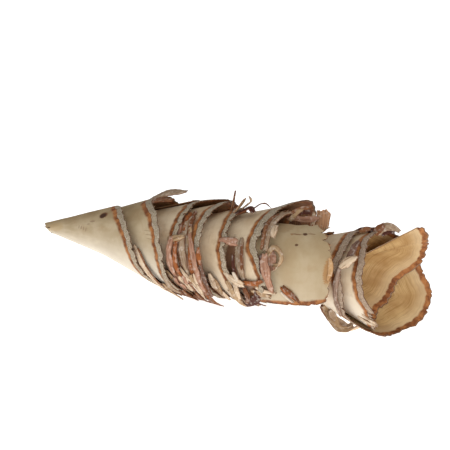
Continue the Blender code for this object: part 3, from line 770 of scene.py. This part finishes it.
archShaving = {
    "name": "archShaving", "node": "shaving_3_arch", "slot": "arch_wood", "first": 1280, "last": 2170,
    "step": 1, "stations": 15, "seed": 37, "wave": 3, "rag": 1,
    "laps": [
        (1280, -106, -4), (1350, -103.3, -5), (1416, -101, -3), (1457, -99.5, 0.6), (1488, -98, 0.9),
        (1516, -95.5, 4.8), (1530, -94, 8.5), (1549, -92.5, 12), (1562, -92, 15), (1575, -91.5, 16.5),
        (1590, -91, 16), (1640, -89, 15), (1670, -87.5, 24), (1700, -85, 37), (1730, -83.5, 45),
        (1750, -86, 46.5), (1765, -88.5, 46.5), (1780, -88.5, 43), (1790, -87, 36), (1805, -85, 31),
        (1820, -83, 27.6), (1847, -80, 26), (1867, -78, 33), (1887, -76, 38.7), (1910, -74, 33),
        (1930, -73, 24), (1950, -72, 19), (2000, -73, 18), (2050, -75, 20), (2100, -77, 28), (2140, -78, 36),
        (2170, -78, 38),
    ],
    "bark": [
        (1280, 4.4), (1416, 5.2), (1470, 4.2), (1540, 4), (1740, 5.5), (1790, 7.6), (1830, 6.2), (1870, 4.8),
        (1900, 4.2), (2060, 4.4), (2090, 0.2), (2170, 0.2),
    ],
    "flare": [
        (1280, 0.3), (1430, 0.9), (1470, 0.6), (1510, 0.6), (1535, 0), (1555, -2), (1572, -3.5), (1590, -3),
        (1620, 0), (1700, 0.6), (1776, 2.6), (1800, 1), (1850, 0.4), (1900, 0.8), (1930, 0), (2050, 0.3),
        (2170, 0.3),
    ],
    "tears": [
        (1462, 2, 1.4), (1480, 2, 1.2), (1498, 2.5, 1.8), (1535, 2, 2.2), (1556, 2, 1.6), (1785, 1.5, 3.5),
        (1795, 2, 2.5), (1822, 2, 1.6), (1840, 1.4, 2), (1860, 2, 1.4), (1893, 2, 2.8), (1904, 2, 2.2),
        (1650, 3, 2), (2110, 2, 3), (2128, 1.6, 2.5), (2149, 2, 3),
    ],
}
archShaving["radius"] = coneRadius(archShaving["laps"])
archShaving["start"] = coreStart(archShaving["laps"])
faceShaving = {
    "name": "faceShaving", "node": "shaving_4_face", "slot": "face_wood", "first": 10, "last": 700, "step": 1,
    "stations": 18, "seed": 53, "wave": 4, "rag": 0.35, "bendAt": 20,
    "laps": [
        (10, -72.9, 65), (20, -73.6, 72), (30, -74.4, 77), (45, -74.4, 83), (61, -73.2, 87), (76, -71.8, 87),
        (90, -70.4, 85.5), (98, -69.7, 80), (109, -68.8, 61), (120, -68.2, 45), (135, -67.4, 31),
        (150, -66.7, 24), (200, -67.7, 20), (250, -67.7, 28), (300, -64, 46), (320, -60, 60),
        (335, -57, 66.5), (348, -56, 66), (360, -56, 57), (370, -56, 49), (380, -56, 48), (410, -54, 50),
        (450, -49, 50), (500, -39, 50), (540, -33, 50), (590, -25, 54), (610, -21.3, 57), (660, -17.3, 66),
        (700, -13.5, 70),
    ],
    "looseSlope": [
        (0, 0.12), (60, 0.12), (120, 0.2), (250, 0.2), (300, 0.12), (350, 0.08), (365, 0.08), (400, 0.12),
        (440, 0.2), (500, 0.3), (540, 0.35), (700, 0.35),
    ],
    "radius": faceRadius,
    "bark": [
        (10, -3), (86, -3), (94, 0.6), (118, 0.8), (150, 1.6), (300, -3), (350, -3), (380, 4.4), (700, 4.4),
    ],
    "flare": [(10, 0.2), (700, 0.2)],
    "tears": [
        (16, 2.5, -2), (21, 1.8, 3.4), (25, 1.8, -1.8), (31, 2.6, 4.6), (36, 1.5, -1.2), (42, 2, 2.2),
        (49, 2.5, -1.5), (57, 2, 1.4), (68, 2, 1), (79, 2, 1.2), (90, 2.2, 1.6), (101, 1.6, 2.4),
        (112, 1.6, 2), (332, 2, 3), (346, 2, 3.5),
    ],
}
faceShaving["start"] = coreStart(faceShaving["laps"])
mouthShaving = {
    "name": "mouthShaving", "node": "shaving_5_mouth", "slot": "mouth_wood", "first": -110, "last": 700,
    "step": 1, "stations": 22, "seed": 71, "wave": 5, "rag": 0.35,
    "laps": [
        (-110, -14, 84), (-80, -11, 94), (-60, -9, 100), (-30, -8, 99), (-15, -7, 95), (-1, -6, 91),
        (24, -8, 90), (50, -9.5, 89), (69, -9.5, 92.5), (90, -8.5, 95.5), (113, -6.5, 97.5), (130, -1, 106),
        (150, 8, 118), (192, 18, 131), (216, 25, 140), (235, 26, 141), (247, 24, 138), (271, 18, 129),
        (300, 12, 119), (330, 6, 111), (354, 2, 105), (375, 0.5, 103.5), (395, 1.5, 105.8), (422, 3, 107),
        (447, 6, 113), (459, 9, 118), (480, 12, 118), (510, 15, 114), (552, 24, 108.5), (576, 30.5, 112.5),
        (595, 31.5, 114.5), (614, 29.5, 118), (631, 24, 128), (652, 36.5, 134), (680, 62, 137),
        (700, 72.6, 135),
    ],
    "slopes": [(-110, 0.35), (614, 0.35), (631, 0.35), (652, 0.4), (680, 0.52), (700, 0.74)],
    "radius": mouthRadius, "start": mouthStart,
    "bark": [
        (-110, 4.4), (0, 5.6), (50, 5.2), (100, 4.4), (130, 2.6), (200, 1.2), (300, 1.6), (354, 4.4),
        (420, 4.8), (460, 4.2), (500, 2.2), (540, 1), (700, 1.2),
    ],
    "flare": [
        (-110, 0.3), (0, 0.8), (60, 0.3), (110, 0.6), (145, 0), (300, 0), (360, 0.9), (400, 0.4), (450, 0.3),
        (500, 0), (700, 0),
    ],
    "tears": [
        (36, 2, 1.4), (62, 2, 1.6), (83, 1.6, 1.2), (104, 2, 2.2), (388, 1.6, 1), (432, 2, 1),
        (462, 1.6, 5.5), (467, 1.4, 4), (472, 1.8, 7.5), (478, 1.5, 5), (484, 1.8, 7), (491, 1.6, 4.5),
        (170, 2, 1.5), (222, 2, 1.6), (241, 1.6, 1.2), (262, 2, 1.6), (560, 2, 1.2), (601, 1.6, 1.2),
        (640, 2, 1.4), (663, 1.6, 1.2),
    ],
}

woodLook = {
    "woodDark": (0.66, 0.49, 0.31), "woodLight": (0.80, 0.65, 0.46), "woodGrain": (0.44, 0.29, 0.16),
    "innerDark": (0.46, 0.26, 0.09), "innerLight": (0.62, 0.42, 0.19), "innerGrain": (0.36, 0.19, 0.06),
    "barkDark": (0.30, 0.235, 0.155), "barkLight": (0.58, 0.49, 0.37), "barkPatch": (0.44, 0.36, 0.25),
    "paleLow": 0.45, "darkTop": 0.25, "paleRim": 0.0,     # how much of the three tones below: painted light on the roll's lower side, painted shade on its top, and a paler inside by the rim
    "lowLightPaint": (0.80, 0.74, 0.64), "topShadePaint": (0.60, 0.50, 0.34), "rimTone": (0.78, 0.62, 0.40), "marks": [],
}
darkKnot, tickTone = (0.05, 0.016, 0.004), (0.30, 0.20, 0.12)
# marks in the wood, knots and ticks but also patches of painted shade: turn and x of the middle, how long
# along the roll and round it, tone and strength
tipMarks = [
    (32, -109.4, 4.2, 4.4, (0.15, 0.05, 0.015), 0.95), (33, -109.8, 3.2, 3.4, darkKnot, 0.95),
    (44, -118.6, 2.6, 1.4, tickTone, 0.8), (57, -131.5, 0.7, 3, tickTone, 0.6),
    (59, -129, 0.7, 3.2, tickTone, 0.7), (61, -126.4, 0.7, 3.4, tickTone, 0.7),
    (64, -123.6, 0.7, 3, tickTone, 0.6), (50, -122, 1.6, 1, tickTone, 0.7), (416, -60, 7, 0.4, tickTone, 0.6),
    (421, -58, 7.5, 0.4, tickTone, 0.65), (426, -57, 7, 0.4, tickTone, 0.6),
    (10, -164, 6, 9, (0.40, 0.26, 0.11), 0.8), (55, -158, 9, 16, (0.48, 0.33, 0.16), 0.5),
    (60, -165.5, 2, 4, darkKnot, 0.8), (120, -163, 2.4, 6, darkKnot, 0.8),
]
# the last face mark is a painted shadow cast by the rims beside the face; the others are knots, cracks and
# stains
faceMarks = [
    (26, 58.8, 1.9, 1.1, (0.10, 0.045, 0.02), 1), (27.2, 52.5, 4.6, 0.55, (0.24, 0.13, 0.06), 0.9),
    (24.8, 63.4, 3.4, 0.5, (0.24, 0.13, 0.06), 0.8), (28, 49, 1.2, 0.9, (0.30, 0.16, 0.07), 0.8),
    (41, 55.6, 1.5, 0.9, (0.12, 0.055, 0.025), 0.95), (95, 54.5, 5, 3, (0.30, 0.12, 0.03), 0.8),
    (63, 84, 4, 8, (0.42, 0.20, 0.06), 0.8), (12, 40, 9, 9, (0.34, 0.22, 0.11), 0.6),
]
# painted shade: dark patches on the band lap in the gaps between and under the torn slats
bandShadeMarks = [
    (1150, -34, 15, 34, (0.15, 0.055, 0.018), 0.9), (1120, -45, 5, 12, (0.34, 0.10, 0.02), 0.9),
    (1195, -20, 9, 16, (0.12, 0.04, 0.015), 0.85), (830, -38, 12, 16, (0.16, 0.06, 0.02), 0.7),
]
# painted shade: dark patches on the arch lap under the torn strips
archShadeMarks = [(1874, 5, 5, 20, (0.16, 0.055, 0.018), 0.9), (1906, 20, 14, 9, (0.15, 0.05, 0.02), 0.8)]


def lookWith(**changes):
    return {**woodLook, **changes}


# the tip's, band's and arch's dark inner tones are painted shade inside the wound laps
shavings = [
    (tipShaving, lookWith(
        name="tipWood", seed=1.0, marks=tipMarks, paleLow=0.85, darkTop=0.8, woodDark=(0.45, 0.34, 0.20),
        woodLight=(0.58, 0.47, 0.31), innerDark=(0.14, 0.05, 0.018), innerLight=(0.30, 0.14, 0.055))),
    (bandShaving, lookWith(
        name="bandWood", seed=5.0, marks=bandShadeMarks, paleLow=0.2, innerDark=(0.20, 0.075, 0.025),
        innerLight=(0.40, 0.20, 0.08))),
    (archShaving, lookWith(
        name="archWood", seed=9.0, marks=archShadeMarks, paleLow=0.3, innerDark=(0.12, 0.04, 0.014),
        innerLight=(0.26, 0.11, 0.04))),
    (faceShaving, lookWith(
        name="faceWood", seed=13.0, marks=faceMarks, paleLow=0.3, woodDark=(0.45, 0.33, 0.185),
        woodLight=(0.53, 0.415, 0.26))),
    (mouthShaving, lookWith(
        name="mouthWood", seed=17.0, innerDark=(0.40, 0.225, 0.08), innerLight=(0.58, 0.38, 0.165),
        innerGrain=(0.30, 0.15, 0.045), paleLow=0.75, paleRim=0.35, barkDark=(0.32, 0.22, 0.14),
        barkLight=(0.56, 0.43, 0.32), barkPatch=(0.43, 0.31, 0.22))),
]
sliverTree = splinterTree()
slivers = {"Share": 0.35, "Length": 1.5 * mm, "Width": 0.42 * mm, "Spread": 0.75, "Seed": 4,
           "Material": splinterMaterial("sliverWood")}
for shaving, look in shavings:
    wound, rimPoints, rimLeans = windSheet(shaving, shavingMaterial(look))
    growSplinters(shaving["name"] + "Slivers", sliverTree, rimPoints, rimLeans, slivers)
    print(shaving["name"], "wound", len(wound.data.polygons), "faces")

stripWood = stripMaterial("tornStripWood")
tipTorn = [
    ("grey", "rust", 0.15, [(354, -78.5, 27.4, 4, 1.2), (353, -73, 31.6, 6, 1.1), (353, -66, 35.8, 7, 1),
        (352, -59, 38, 7, 1), (352, -52, 39.6, 5, 0.9), (351, -47, 40.6, 2.4, 0.8)], "out", 26),
    ("rust", "red", 0.1, [(2, -77, 28.6, 5, 1.2), (2, -69, 32.2, 6, 1), (3, -61, 34.2, 6, 0.9),
        (4, -54, 35.2, 3, 0.8)], "out", 10),
    ("grey", "brown", 0.2, [(104, -47, 34.8, 4, 1.2), (118, -45, 36.8, 5, 1.1), (132, -42, 38, 5, 1),
        (145, -37, 38.4, 3, 0.9)]),
    ("cream", "brown", 0.1, [(440, -73, 2.2, 2), (450, -69.4, 3.2, 3.6), (464, -65, 3.6, 4.4),
        (480, -58.6, 3.8, 4.6), (494, -52, 3.6, 4.4), (504, -46, 3, 3)]),
    ("rust", "brown", 0.1, [(444, -69.6, 1.6, 1.2), (452, -66.4, 2.2, 1.8), (466, -61.8, 2.8, 2),
        (482, -55.6, 3.2, 2.2), (496, -48.6, 3, 2.2), (506, -42, 2.6, 1.6)]),
    ("tan", "red", 0.1, [(486, -49, 1.6, 2.6), (497, -43.6, 2.4, 4), (508, -37, 2.6, 3)]),
    ("tan", "brown", 0.1, [(60, -161, 2.6, 2, 0.8), (50, -166, 3, 2.6, 0.7), (44, -170, 3.4, 1, 0.6)]),
    ("brown", "red", 0.1, [(140, -157, 5.2, 1.8, 0.8), (146, -161, 4, 2.2, 0.7),
        (150, -165, 3.4, 0.9, 0.6)]),
    ("red", "brown", 0.1, [(84, -91.5, 22.4, 1.8, 0.8), (90, -88, 23.8, 2.6, 0.7),
        (97, -85.5, 24.4, 1.2, 0.6)]),
    *rags([(-70, 31.4), (-64, 33.2), (-58, 35.2), (-52, 36.6)], 146, "brown", "red", 3),
    *rags([(-66, 33.4), (-55, 36.4)], 140, "rust", "brown", 4),
]
bandTorn = [
    {"seed": 6, "count": 7, "turns": (1098, 1222), "height": (1.4, 3.4), "width": 3.5, "back": "brown",
        "borders": ((1098, -50, -33), (1130, -45, -27), (1160, -42, -22), (1190, -38, -17),
        (1222, -30, -9)), "tints": ("tan", "rust", "pink", "grey", "brown", "tan", "orange")},
    {"seed": 9, "count": 4, "turns": (1085, 1135), "height": (1, 2.6), "width": 3, "back": "red",
        "borders": ((1085, -47, -31), (1135, -44, -28)), "tints": ("rust", "brown", "grey", "orange")},
    {"seed": 14, "count": 4, "turns": (826, 872), "height": (1.6, 3), "width": 3.4, "back": "brown",
        "borders": ((826, -50, -36), (872, -42, -24)), "tints": ("cream", "tan", "pink", "brown")},
    ("pink", "brown", 0.2, [(58, -41.5, 33.4, 4, 1.2), (70, -41.5, 34.9, 4.6, 1.1),
        (84, -40.8, 35.2, 4.6, 1.1), (98, -39, 35.2, 4, 1), (108, -37, 35, 2.4, 0.9)]),
    ("orange", "brown", 0.2, [(60, -37.5, 33.4, 3, 1.2), (70, -36.8, 35.2, 3.6, 1.1),
        (84, -36, 35.6, 3.6, 1.1), (98, -34, 35.4, 3.2, 1), (106, -31.5, 35.2, 2, 0.9)]),
    ("grey", "brown", 0.2, [(44, -32, 30.6, 3, 1.2), (54, -33, 33.2, 4, 1.1), (68, -32, 34.4, 4.2, 1.1),
        (84, -29, 34.8, 4.2, 1.1), (98, -26, 34.8, 3.6, 1), (110, -23.5, 34.4, 2.4, 0.9)]),
    ("tan", "brown", 0.3, [(1141, -46, 5.4, 4), (1140, -40, 6.4, 6.4), (1137, -35, 6, 5.4),
        (1135, -31.5, 5, 2.6)]),
    ("pink", "brown", 0.3, [(1130, -28, 3.6, 2.6), (1143, -23.6, 4.4, 4), (1155, -20.4, 4.6, 4.2),
        (1172, -16.4, 4.4, 4.6), (1190, -13.6, 4, 4.4), (1206, -12.6, 3.4, 3)]),
    ("pink", "brown", 0.3, [(1187, -43, 4, 3), (1198, -35.6, 4.8, 4.6), (1214, -29.8, 4.6, 2.6)]),
    ("cream", "red", 0.3, [(1178, -33.3, 4.2, 3), (1184, -25.9, 4.8, 4), (1191, -18.9, 4.6, 3.4),
        (1204, -16.4, 4.2, 2.4)]),
    ("orange", "brown", 0.2, [(1116, -49.5, 2.6, 2.4), (1127, -47.6, 3.2, 3.8), (1137, -46.6, 3, 2.6)]),
    ("orange", "rust", 0.2, [(1145, -17.4, 2.6, 2.2), (1155, -15.6, 3, 3.6), (1163, -14.2, 2.6, 2.4)]),
    ("brown", "red", 0.2, [(1157, -19, 2.4, 2.4), (1181, -13, 3, 3.4), (1207, -9, 2.8, 2.6)]),
    ("violet", "red", 0.2, [(1160, -14.2, 2.2, 2), (1178, -10.4, 2.6, 3), (1200, -6, 2.4, 2.4)]),
    {"seed": 21, "count": 6, "turns": (1174, 1218), "height": (4.4, 5.6), "width": 3.2, "back": "red",
        "borders": ((1174, -46, -16), (1200, -39, -12), (1226, -30, -8)), "tints": ("cream", "pink",
        "white", "tan", "cream", "rust")},
    *rags([(-46, 38.2), (-40, 38.6), (-35, 39), (-29, 39.2), (-24, 39.2), (-18, 39.6), (-12, 40)], 146,
        "brown", "red", 5),
    *rags([(-43, 38.4), (-31, 39.2), (-20, 39.6), (-9, 39.8)], 140, "rust", "brown", 7),
]
archTorn = [
    {"seed": 31, "count": 3, "turns": (1530, 1590), "height": (2.4, 4.4), "width": 3.6, "back": "brown",
        "borders": ((1530, -14, -6), (1560, -8, 0), (1590, -3, 7)), "tints": ("tan", "cream", "rust")},
    ("grey", "brown", 0.2, [(42, 12.5, 32.4, 3.4, 1.2), (50, 13.5, 34.4, 4.2, 1.1),
        (64, 15, 35.6, 4.6, 1.1), (78, 17, 35.8, 4.6, 1.1), (90, 18.5, 34.6, 3.4, 1),
        (98, 19, 32.9, 2, 1)]),
    ("red", "brown", 0.2, [(66, 9, 33.6, 2, 1), (78, 10.6, 34.2, 3, 1), (90, 12.5, 34.2, 3.2, 1),
        (100, 14, 33.6, 2, 0.9)]),
    ("rust", "tan", 0.1, [(348, -9, 31.4, 3.4, 1.4), (349, -8, 39, 2.8, 1.2), (350, -7.3, 44, 2.2, 1),
        (350, -7, 47, 1.6, 0.9)], "along"),
    ("tan", "cream", 0.2, [(2, -4, 33, 5, 1.3), (2, 0, 38, 5.5, 1.1), (1, 3, 42.4, 5, 1),
        (0, 4.5, 45.4, 3, 0.9)], "along"),
    ("cream", "tan", 0.2, [(356, 1, 36, 3, 1.2), (356, 5.4, 40.2, 4.4, 1), (356, 8.4, 43.6, 3.6, 0.9),
        (357, 7.4, 46.4, 1.6, 0.8)], "along"),
    ("red", "brown", 0.2, [(6, -4, 32.8, 4, 1.3), (5, 5, 37.6, 5, 1.1), (4, 10, 40.6, 5, 1),
        (8, 13.6, 38.6, 4, 0.9)]),
    ("brown", "red", 0.1, [(350, 9, 36.8, 1.6, 1), (349, 13.4, 40.6, 1.2, 0.7), (348, 17.6, 41.6, 1, 0.6),
        (347, 20.8, 39.4, 0.7, 0.5)], "along"),
    ("pink", "brown", 0.25, [(50, -4, 33, 3, 1.3), (50, 2, 37.2, 5, 1), (51, 8, 38, 6, 1),
        (52, 12, 37.2, 4.4, 0.9)]),
    ("cream", "tan", 0.25, [(90, 4, 34.2, 3, 1.3), (93, 10, 37, 5.4, 1), (96, 16, 38, 6, 1),
        (98, 21, 37, 3, 0.9)]),
    ("white", "tan", 0.25, [(86, 12, 36.2, 3, 1.2), (92, 15, 37.8, 4.4, 1), (99, 17, 38.2, 3.6, 0.9)]),
    ("grey", "red", 0.15, [(358, 40, 40.2, 3, 1.2), (6, 37, 40.6, 4, 1.1), (18, 34.5, 41, 4.2, 1.1),
        (30, 34, 40.6, 3.8, 1.1), (42, 34.5, 40.4, 3.4, 1.1), (54, 35, 40, 3, 1)]),
    ("rust", "brown", 0.15, [(2, 33, 38.8, 2, 1.1), (14, 30.4, 39.6, 3.6, 1.1), (28, 30, 39.4, 4, 1),
        (42, 31, 39.2, 3.4, 1), (54, 32, 39, 2.4, 0.9)]),
    ("cream", "tan", 0.3, [(26, 36.5, 41.2, 3, 1.1), (34, 37.5, 42.4, 4.6, 1), (40, 38.5, 42, 3, 0.9)]),
    ("pink", "red", 0.2, [(58, 35, 40.2, 4, 1.1), (68, 37, 41.4, 6, 1), (78, 39.5, 41.4, 6.4, 1),
        (88, 41.5, 40.2, 4.6, 0.9), (98, 43, 38.6, 2.6, 0.9)]),
    ("red", "brown", 0.2, [(60, 32, 38.8, 2.4, 1.1), (72, 33.8, 39.4, 3, 1), (86, 36.6, 39, 2.6, 0.9)]),
    ("red", "brown", 0.2, [(98, 31, 36.6, 3, 1.3), (108, 30.5, 38.2, 5, 1.1), (120, 27, 37.8, 6, 1.1),
        (134, 21, 37.4, 5, 1), (146, 15, 37, 3, 0.9)]),
    ("brown", "red", 0.2, [(104, 20, 35.8, 3, 1.2), (116, 22, 37.4, 4, 1), (130, 20, 37.2, 3.4, 0.9)]),
    ("tan", "brown", 0.2, [(100, 6, 34.4, 4, 1.2), (114, 11, 37, 5, 1.1), (130, 14, 37.6, 5, 1),
        (143, 16, 37.4, 3, 0.9)]),
    ("cream", "brown", 0.2, [(96, 12, 35.6, 3, 1.2), (108, 14, 37.6, 4, 1), (122, 14.5, 37.4, 3, 0.9)]),
    ("tan", "brown", 0.2, [(104, 26, 36.6, 3, 1.1), (105, 33, 38, 4.4, 1), (106, 41, 37.6, 3, 0.9)]),
    ("cream", "brown", 0.2, [(98, 30, 37, 2.4, 1.1), (99, 37, 38.2, 3.6, 1), (100, 45, 37.6, 2, 0.9)]),
    ("orange", "brown", 0.2, [(1900, 16, 1.8, 2), (1896, 22, 2.4, 3.4), (1891, 30, 2.6, 3.4),
        (1885, 37, 2.2, 2.2)]),
    ("brown", "red", 0.2, [(1493, 16.4, 1.4, 2), (1505, 19, 1.8, 2.2), (1517, 21, 1.6, 2)]),
    ("pink", "rust", 0.1, [(350, 36, 33.4, 3, 1.1), (349, 42, 34.6, 4.6, 1), (347, 48, 34.8, 5, 0.9),
        (346, 54, 36, 5, 0.9), (345, 59, 38, 2.6, 0.8)], "across"),
    ("red", "brown", 0.1, [(350, 38, 36.6, 3, 1.1), (350, 43, 39.6, 4, 1), (350, 49, 41, 4, 0.9),
        (350, 54, 41.4, 2.6, 0.8)], "across"),
    ("rust", "brown", 0.1, [(353, 37, 37.6, 2, 1.1), (352, 42, 40.6, 3, 1), (351, 47, 43.4, 3, 0.9),
        (350, 52, 44.2, 2, 0.8)], "across"),
    ("tan", "rust", 0.1, [(352, 38.5, 33, 2.4, 1), (352, 41, 36.6, 3.4, 1), (352, 44, 40.4, 3, 0.9),
        (352, 48, 42.6, 1.4, 0.8)], "across"),
    *rags([(3, 33.6), (10, 35), (17, 34.4), (23, 33.2)], 146, "red", "brown", 8),
    *rags([(6, 34.8), (14, 35.4), (21, 34.6)], 132, "cream", "brown", 12),
]
faceTorn = [
    ("copper", "copper", 0.2, [(341, 60.5, 28.5, 9, 1.3), (341, 61, 34, 11, 1.1), (341, 60.5, 39, 11, 1),
        (340, 59.5, 43.4, 8, 0.9)], "across"),
    ("cream", "tan", 0.2, [(343, 54.8, 31.5, 3, 1.2), (343, 54.6, 36, 3.4, 1), (343, 54, 40.4, 2, 0.9)],
        "across"),
    ("pink", "brown", 0.2, [(50, 37.5, 1.6, 4), (58, 38.8, 2.2, 6.6), (66, 40.2, 2.2, 6.4),
        (74, 41.4, 1.6, 3)]),
    ("tan", "rust", 0.3, [(66, 37, 1.6, 2.6), (55, 37.5, 3.6, 3.2), (50, 40.5, 5.2, 3.4),
        (52, 45, 5.6, 3.4), (59, 48.4, 5, 3.2), (66, 46.5, 3.6, 2.8), (68, 42, 2.4, 2)]),
    ("cream", "tan", 0.1, [(89, 32, 3, 0.7), (78, 39.2, 4.2, 0.65), (71, 45.2, 4.4, 0.6),
        (61, 48, 3.8, 0.5)]),
    ("orange", "brown", 0.3, [(91, 49, 0.8, 2), (94, 53, 1.6, 3.4), (98, 57.5, 1.4, 2.8),
        (101, 61.5, 0.8, 1.6)]),
    ("brown", "orange", 0.3, [(89, 51.5, 0.7, 1.4), (93, 56.5, 1.3, 2.4), (98, 61.5, 1.1, 2.2),
        (102, 64, 0.6, 1.2)]),
    ("white", "tan", 0.3, [(97, 49.5, 1, 1.8), (100, 54, 1.8, 2.6), (104, 59, 1.6, 2)]),
    ("honey", "orange", 0.3, [(50, 83.2, 0.6, 2.4), (58, 85.6, 0.9, 4.2), (66, 85.8, 0.9, 3.6),
        (72, 85.4, 0.6, 2)]),
]
mouthTorn = [
    ("rust", "tan", 0.2, [(118, 78, 30.6, 4, 1.2), (126, 80.5, 31.4, 6, 1.1), (131, 85.5, 35.5, 6.4, 1),
        (132, 91, 40.2, 6, 1), (132, 97, 40.4, 5, 0.9), (132, 101, 37.6, 3, 0.9)], "across"),
    ("brown", "rust", 0.2, [(120, 76, 30, 3, 1.2), (128, 78, 30.4, 4, 1), (134, 82.5, 34, 4, 1),
        (137, 87, 38.4, 3, 0.9)], "across"),
    ("red", "grey", 0.2, [(118, 84, 32.6, 4, 1.2), (128, 86, 34.2, 5.4, 1), (137, 90.5, 35.4, 5, 0.9),
        (139, 96, 37, 4, 0.9), (138, 99.5, 33.6, 2.4, 0.8)], "across"),
    ("cream", "brown", 0.25, [(150, 104, 33.2, 6, 1.3), (150, 98, 37.4, 6.4, 1.1), (149, 91, 38.6, 6, 1),
        (147, 85, 36, 4, 0.9)]),
    ("grey", "red", 0.2, [(347, 104, 33.6, 4, 1.3), (346, 107, 37.4, 5.4, 1.1), (346, 111, 40, 5.4, 1),
        (346, 116, 39.8, 4.4, 0.9), (346, 120, 38.2, 2, 0.9)], "across"),
    ("brown", "red", 0.2, [(351, 103, 34.4, 4, 1.3), (350, 106, 38.6, 5, 1), (349, 108.5, 41.8, 3, 0.9)],
        "across"),
    ("red", "brown", 0.2, [(342, 106, 33.6, 4, 1.2), (341, 111, 37.2, 5.4, 1), (340, 116, 37.8, 4, 0.9)],
        "across"),
    ("cream", "tan", 0.1, [(109, 109, 34, 3, 1.3), (111, 116, 37.6, 3, 1), (112, 121, 38.8, 1.4, 0.9)]),
    ("cream", "tan", 0.1, [(119, 105, 32.2, 3, 1.3), (118, 113, 36.2, 3, 1), (117, 120, 38, 1.4, 0.9)]),
    ("red", "brown", 0.2, [(350, 89, 33.2, 2, 1.2), (350, 93, 35, 3.6, 1), (349, 98, 36, 4, 0.9),
        (348, 103, 35.4, 2, 0.9)], "across"),
    ("rust", "red", 0.2, [(354, 92, 34.4, 2, 1.2), (353, 96, 36.4, 3, 1), (352, 100, 37.4, 2, 0.9)],
        "across"),
    ("violet", "brown", 0.2, [(24, 98.4, 2, 3), (31, 97.8, 2.8, 5.4), (39, 97, 2.8, 5.8),
        (48, 95, 2.2, 3)]),
    ("cream", "brown", 0.3, [(57, 91.5, 3.2, 3.4), (52, 95.2, 4, 5.6), (48, 99, 4, 5),
        (45, 102.5, 3.4, 2.4)]),
    ("lilac", "brown", 0.3, [(53, 90.5, 1.6, 3), (65, 89.5, 2.2, 3.6), (82, 89.5, 2.2, 3.2),
        (99, 91.6, 2.2, 3), (116, 93.6, 1.8, 2.4)]),
]
for name, strips, shaving in (("tipTorn", tipTorn, tipShaving), ("bandTorn", bandTorn, bandShaving),
                              ("archTorn", archTorn, archShaving), ("faceTorn", faceTorn, faceShaving),
                              ("mouthTorn", mouthTorn, mouthShaving)):
    tornStrips(name, stripsOf(shaving, strips), shaving["node"], stripWood)
print("torn strips laid")

# pale floor, soft studio light and the photograph's camera
studio = {
    "floorSize": 6.0, "floorTone": (0.9, 0.9, 0.9), "floorShade": 0.985, "floorGlow": 0.85,
    "skyTone": (1.0, 1.0, 1.0), "sky": 0.45,
    "key": {"at": (0.85, -1.1, 0.25), "size": 0.8, "power": 9.5},
    "top": {"at": (0.3, -0.5, 1.2), "size": 0.9, "power": 1.5},
}
aimPoint = (-13.181, 3.423, 55.946)      # in the roll's millimetres
cameraView = {"azimuth": 25.0, "elevation": 23.5, "distance": 0.9, "lens": 96.0,
              "target": tuple((a + b) * mm for a, b in zip(aimPoint, roll["shift"]))}


def layFloor():
    half = studio["floorSize"] / 2
    corners = [(-half, -half, 0), (half, -half, 0), (half, half, 0), (-half, half, 0)]
    mesh = bpy.data.meshes.new("floor")
    mesh.from_pydata(corners, [], [(0, 1, 2, 3)])
    item = show("floor", mesh)
    material, tree, shader = startMaterial("floorPaper", 0.9)
    here = addNode(tree, "ShaderNodeTexCoord").outputs["Object"]
    tone = studio["floorTone"]
    shade = tuple(channel * studio["floorShade"] for channel in tone)
    tree.links.new(tint(tree, noiseAt(tree, here, 40.0), shade, tone), shader.inputs["Base Color"])
    shader.inputs["Emission Color"].default_value = (1.0, 1.0, 1.0, 1.0)
    shader.inputs["Emission Strength"].default_value = studio["floorGlow"]
    mesh.materials.append(material)


def hangLight(name, light):
    data = bpy.data.lights.new(name, "AREA")
    data.energy, data.size = light["power"], light["size"]
    item = show(name, data)
    item.location = light["at"]
    item.rotation_euler = (Vector(cameraView["target"]) - item.location).to_track_quat("-Z", "Y").to_euler()


def setCamera():
    azimuth, elevation = math.radians(cameraView["azimuth"]), math.radians(cameraView["elevation"])
    level = math.cos(elevation)
    back = Vector((math.sin(azimuth) * level, -math.cos(azimuth) * level, math.sin(elevation)))
    data = bpy.data.cameras.new("camera")
    data.lens, data.sensor_width = cameraView["lens"], 36.0
    item = show("camera", data)
    item.location = Vector(cameraView["target"]) + back * cameraView["distance"]
    item.rotation_euler = (-back).to_track_quat("-Z", "Y").to_euler()
    bpy.context.scene.camera = item


layFloor()
for name in ("key", "top"):
    hangLight(name + "Light", studio[name])
world = bpy.data.worlds.new("studioSky")
world.use_nodes = True
background = world.node_tree.nodes["Background"].inputs
background[0].default_value, background[1].default_value = (*studio["skyTone"], 1.0), studio["sky"]
bpy.context.scene.world = world
bpy.context.scene.view_settings.view_transform = "Standard"
setCamera()
print("studio ready")
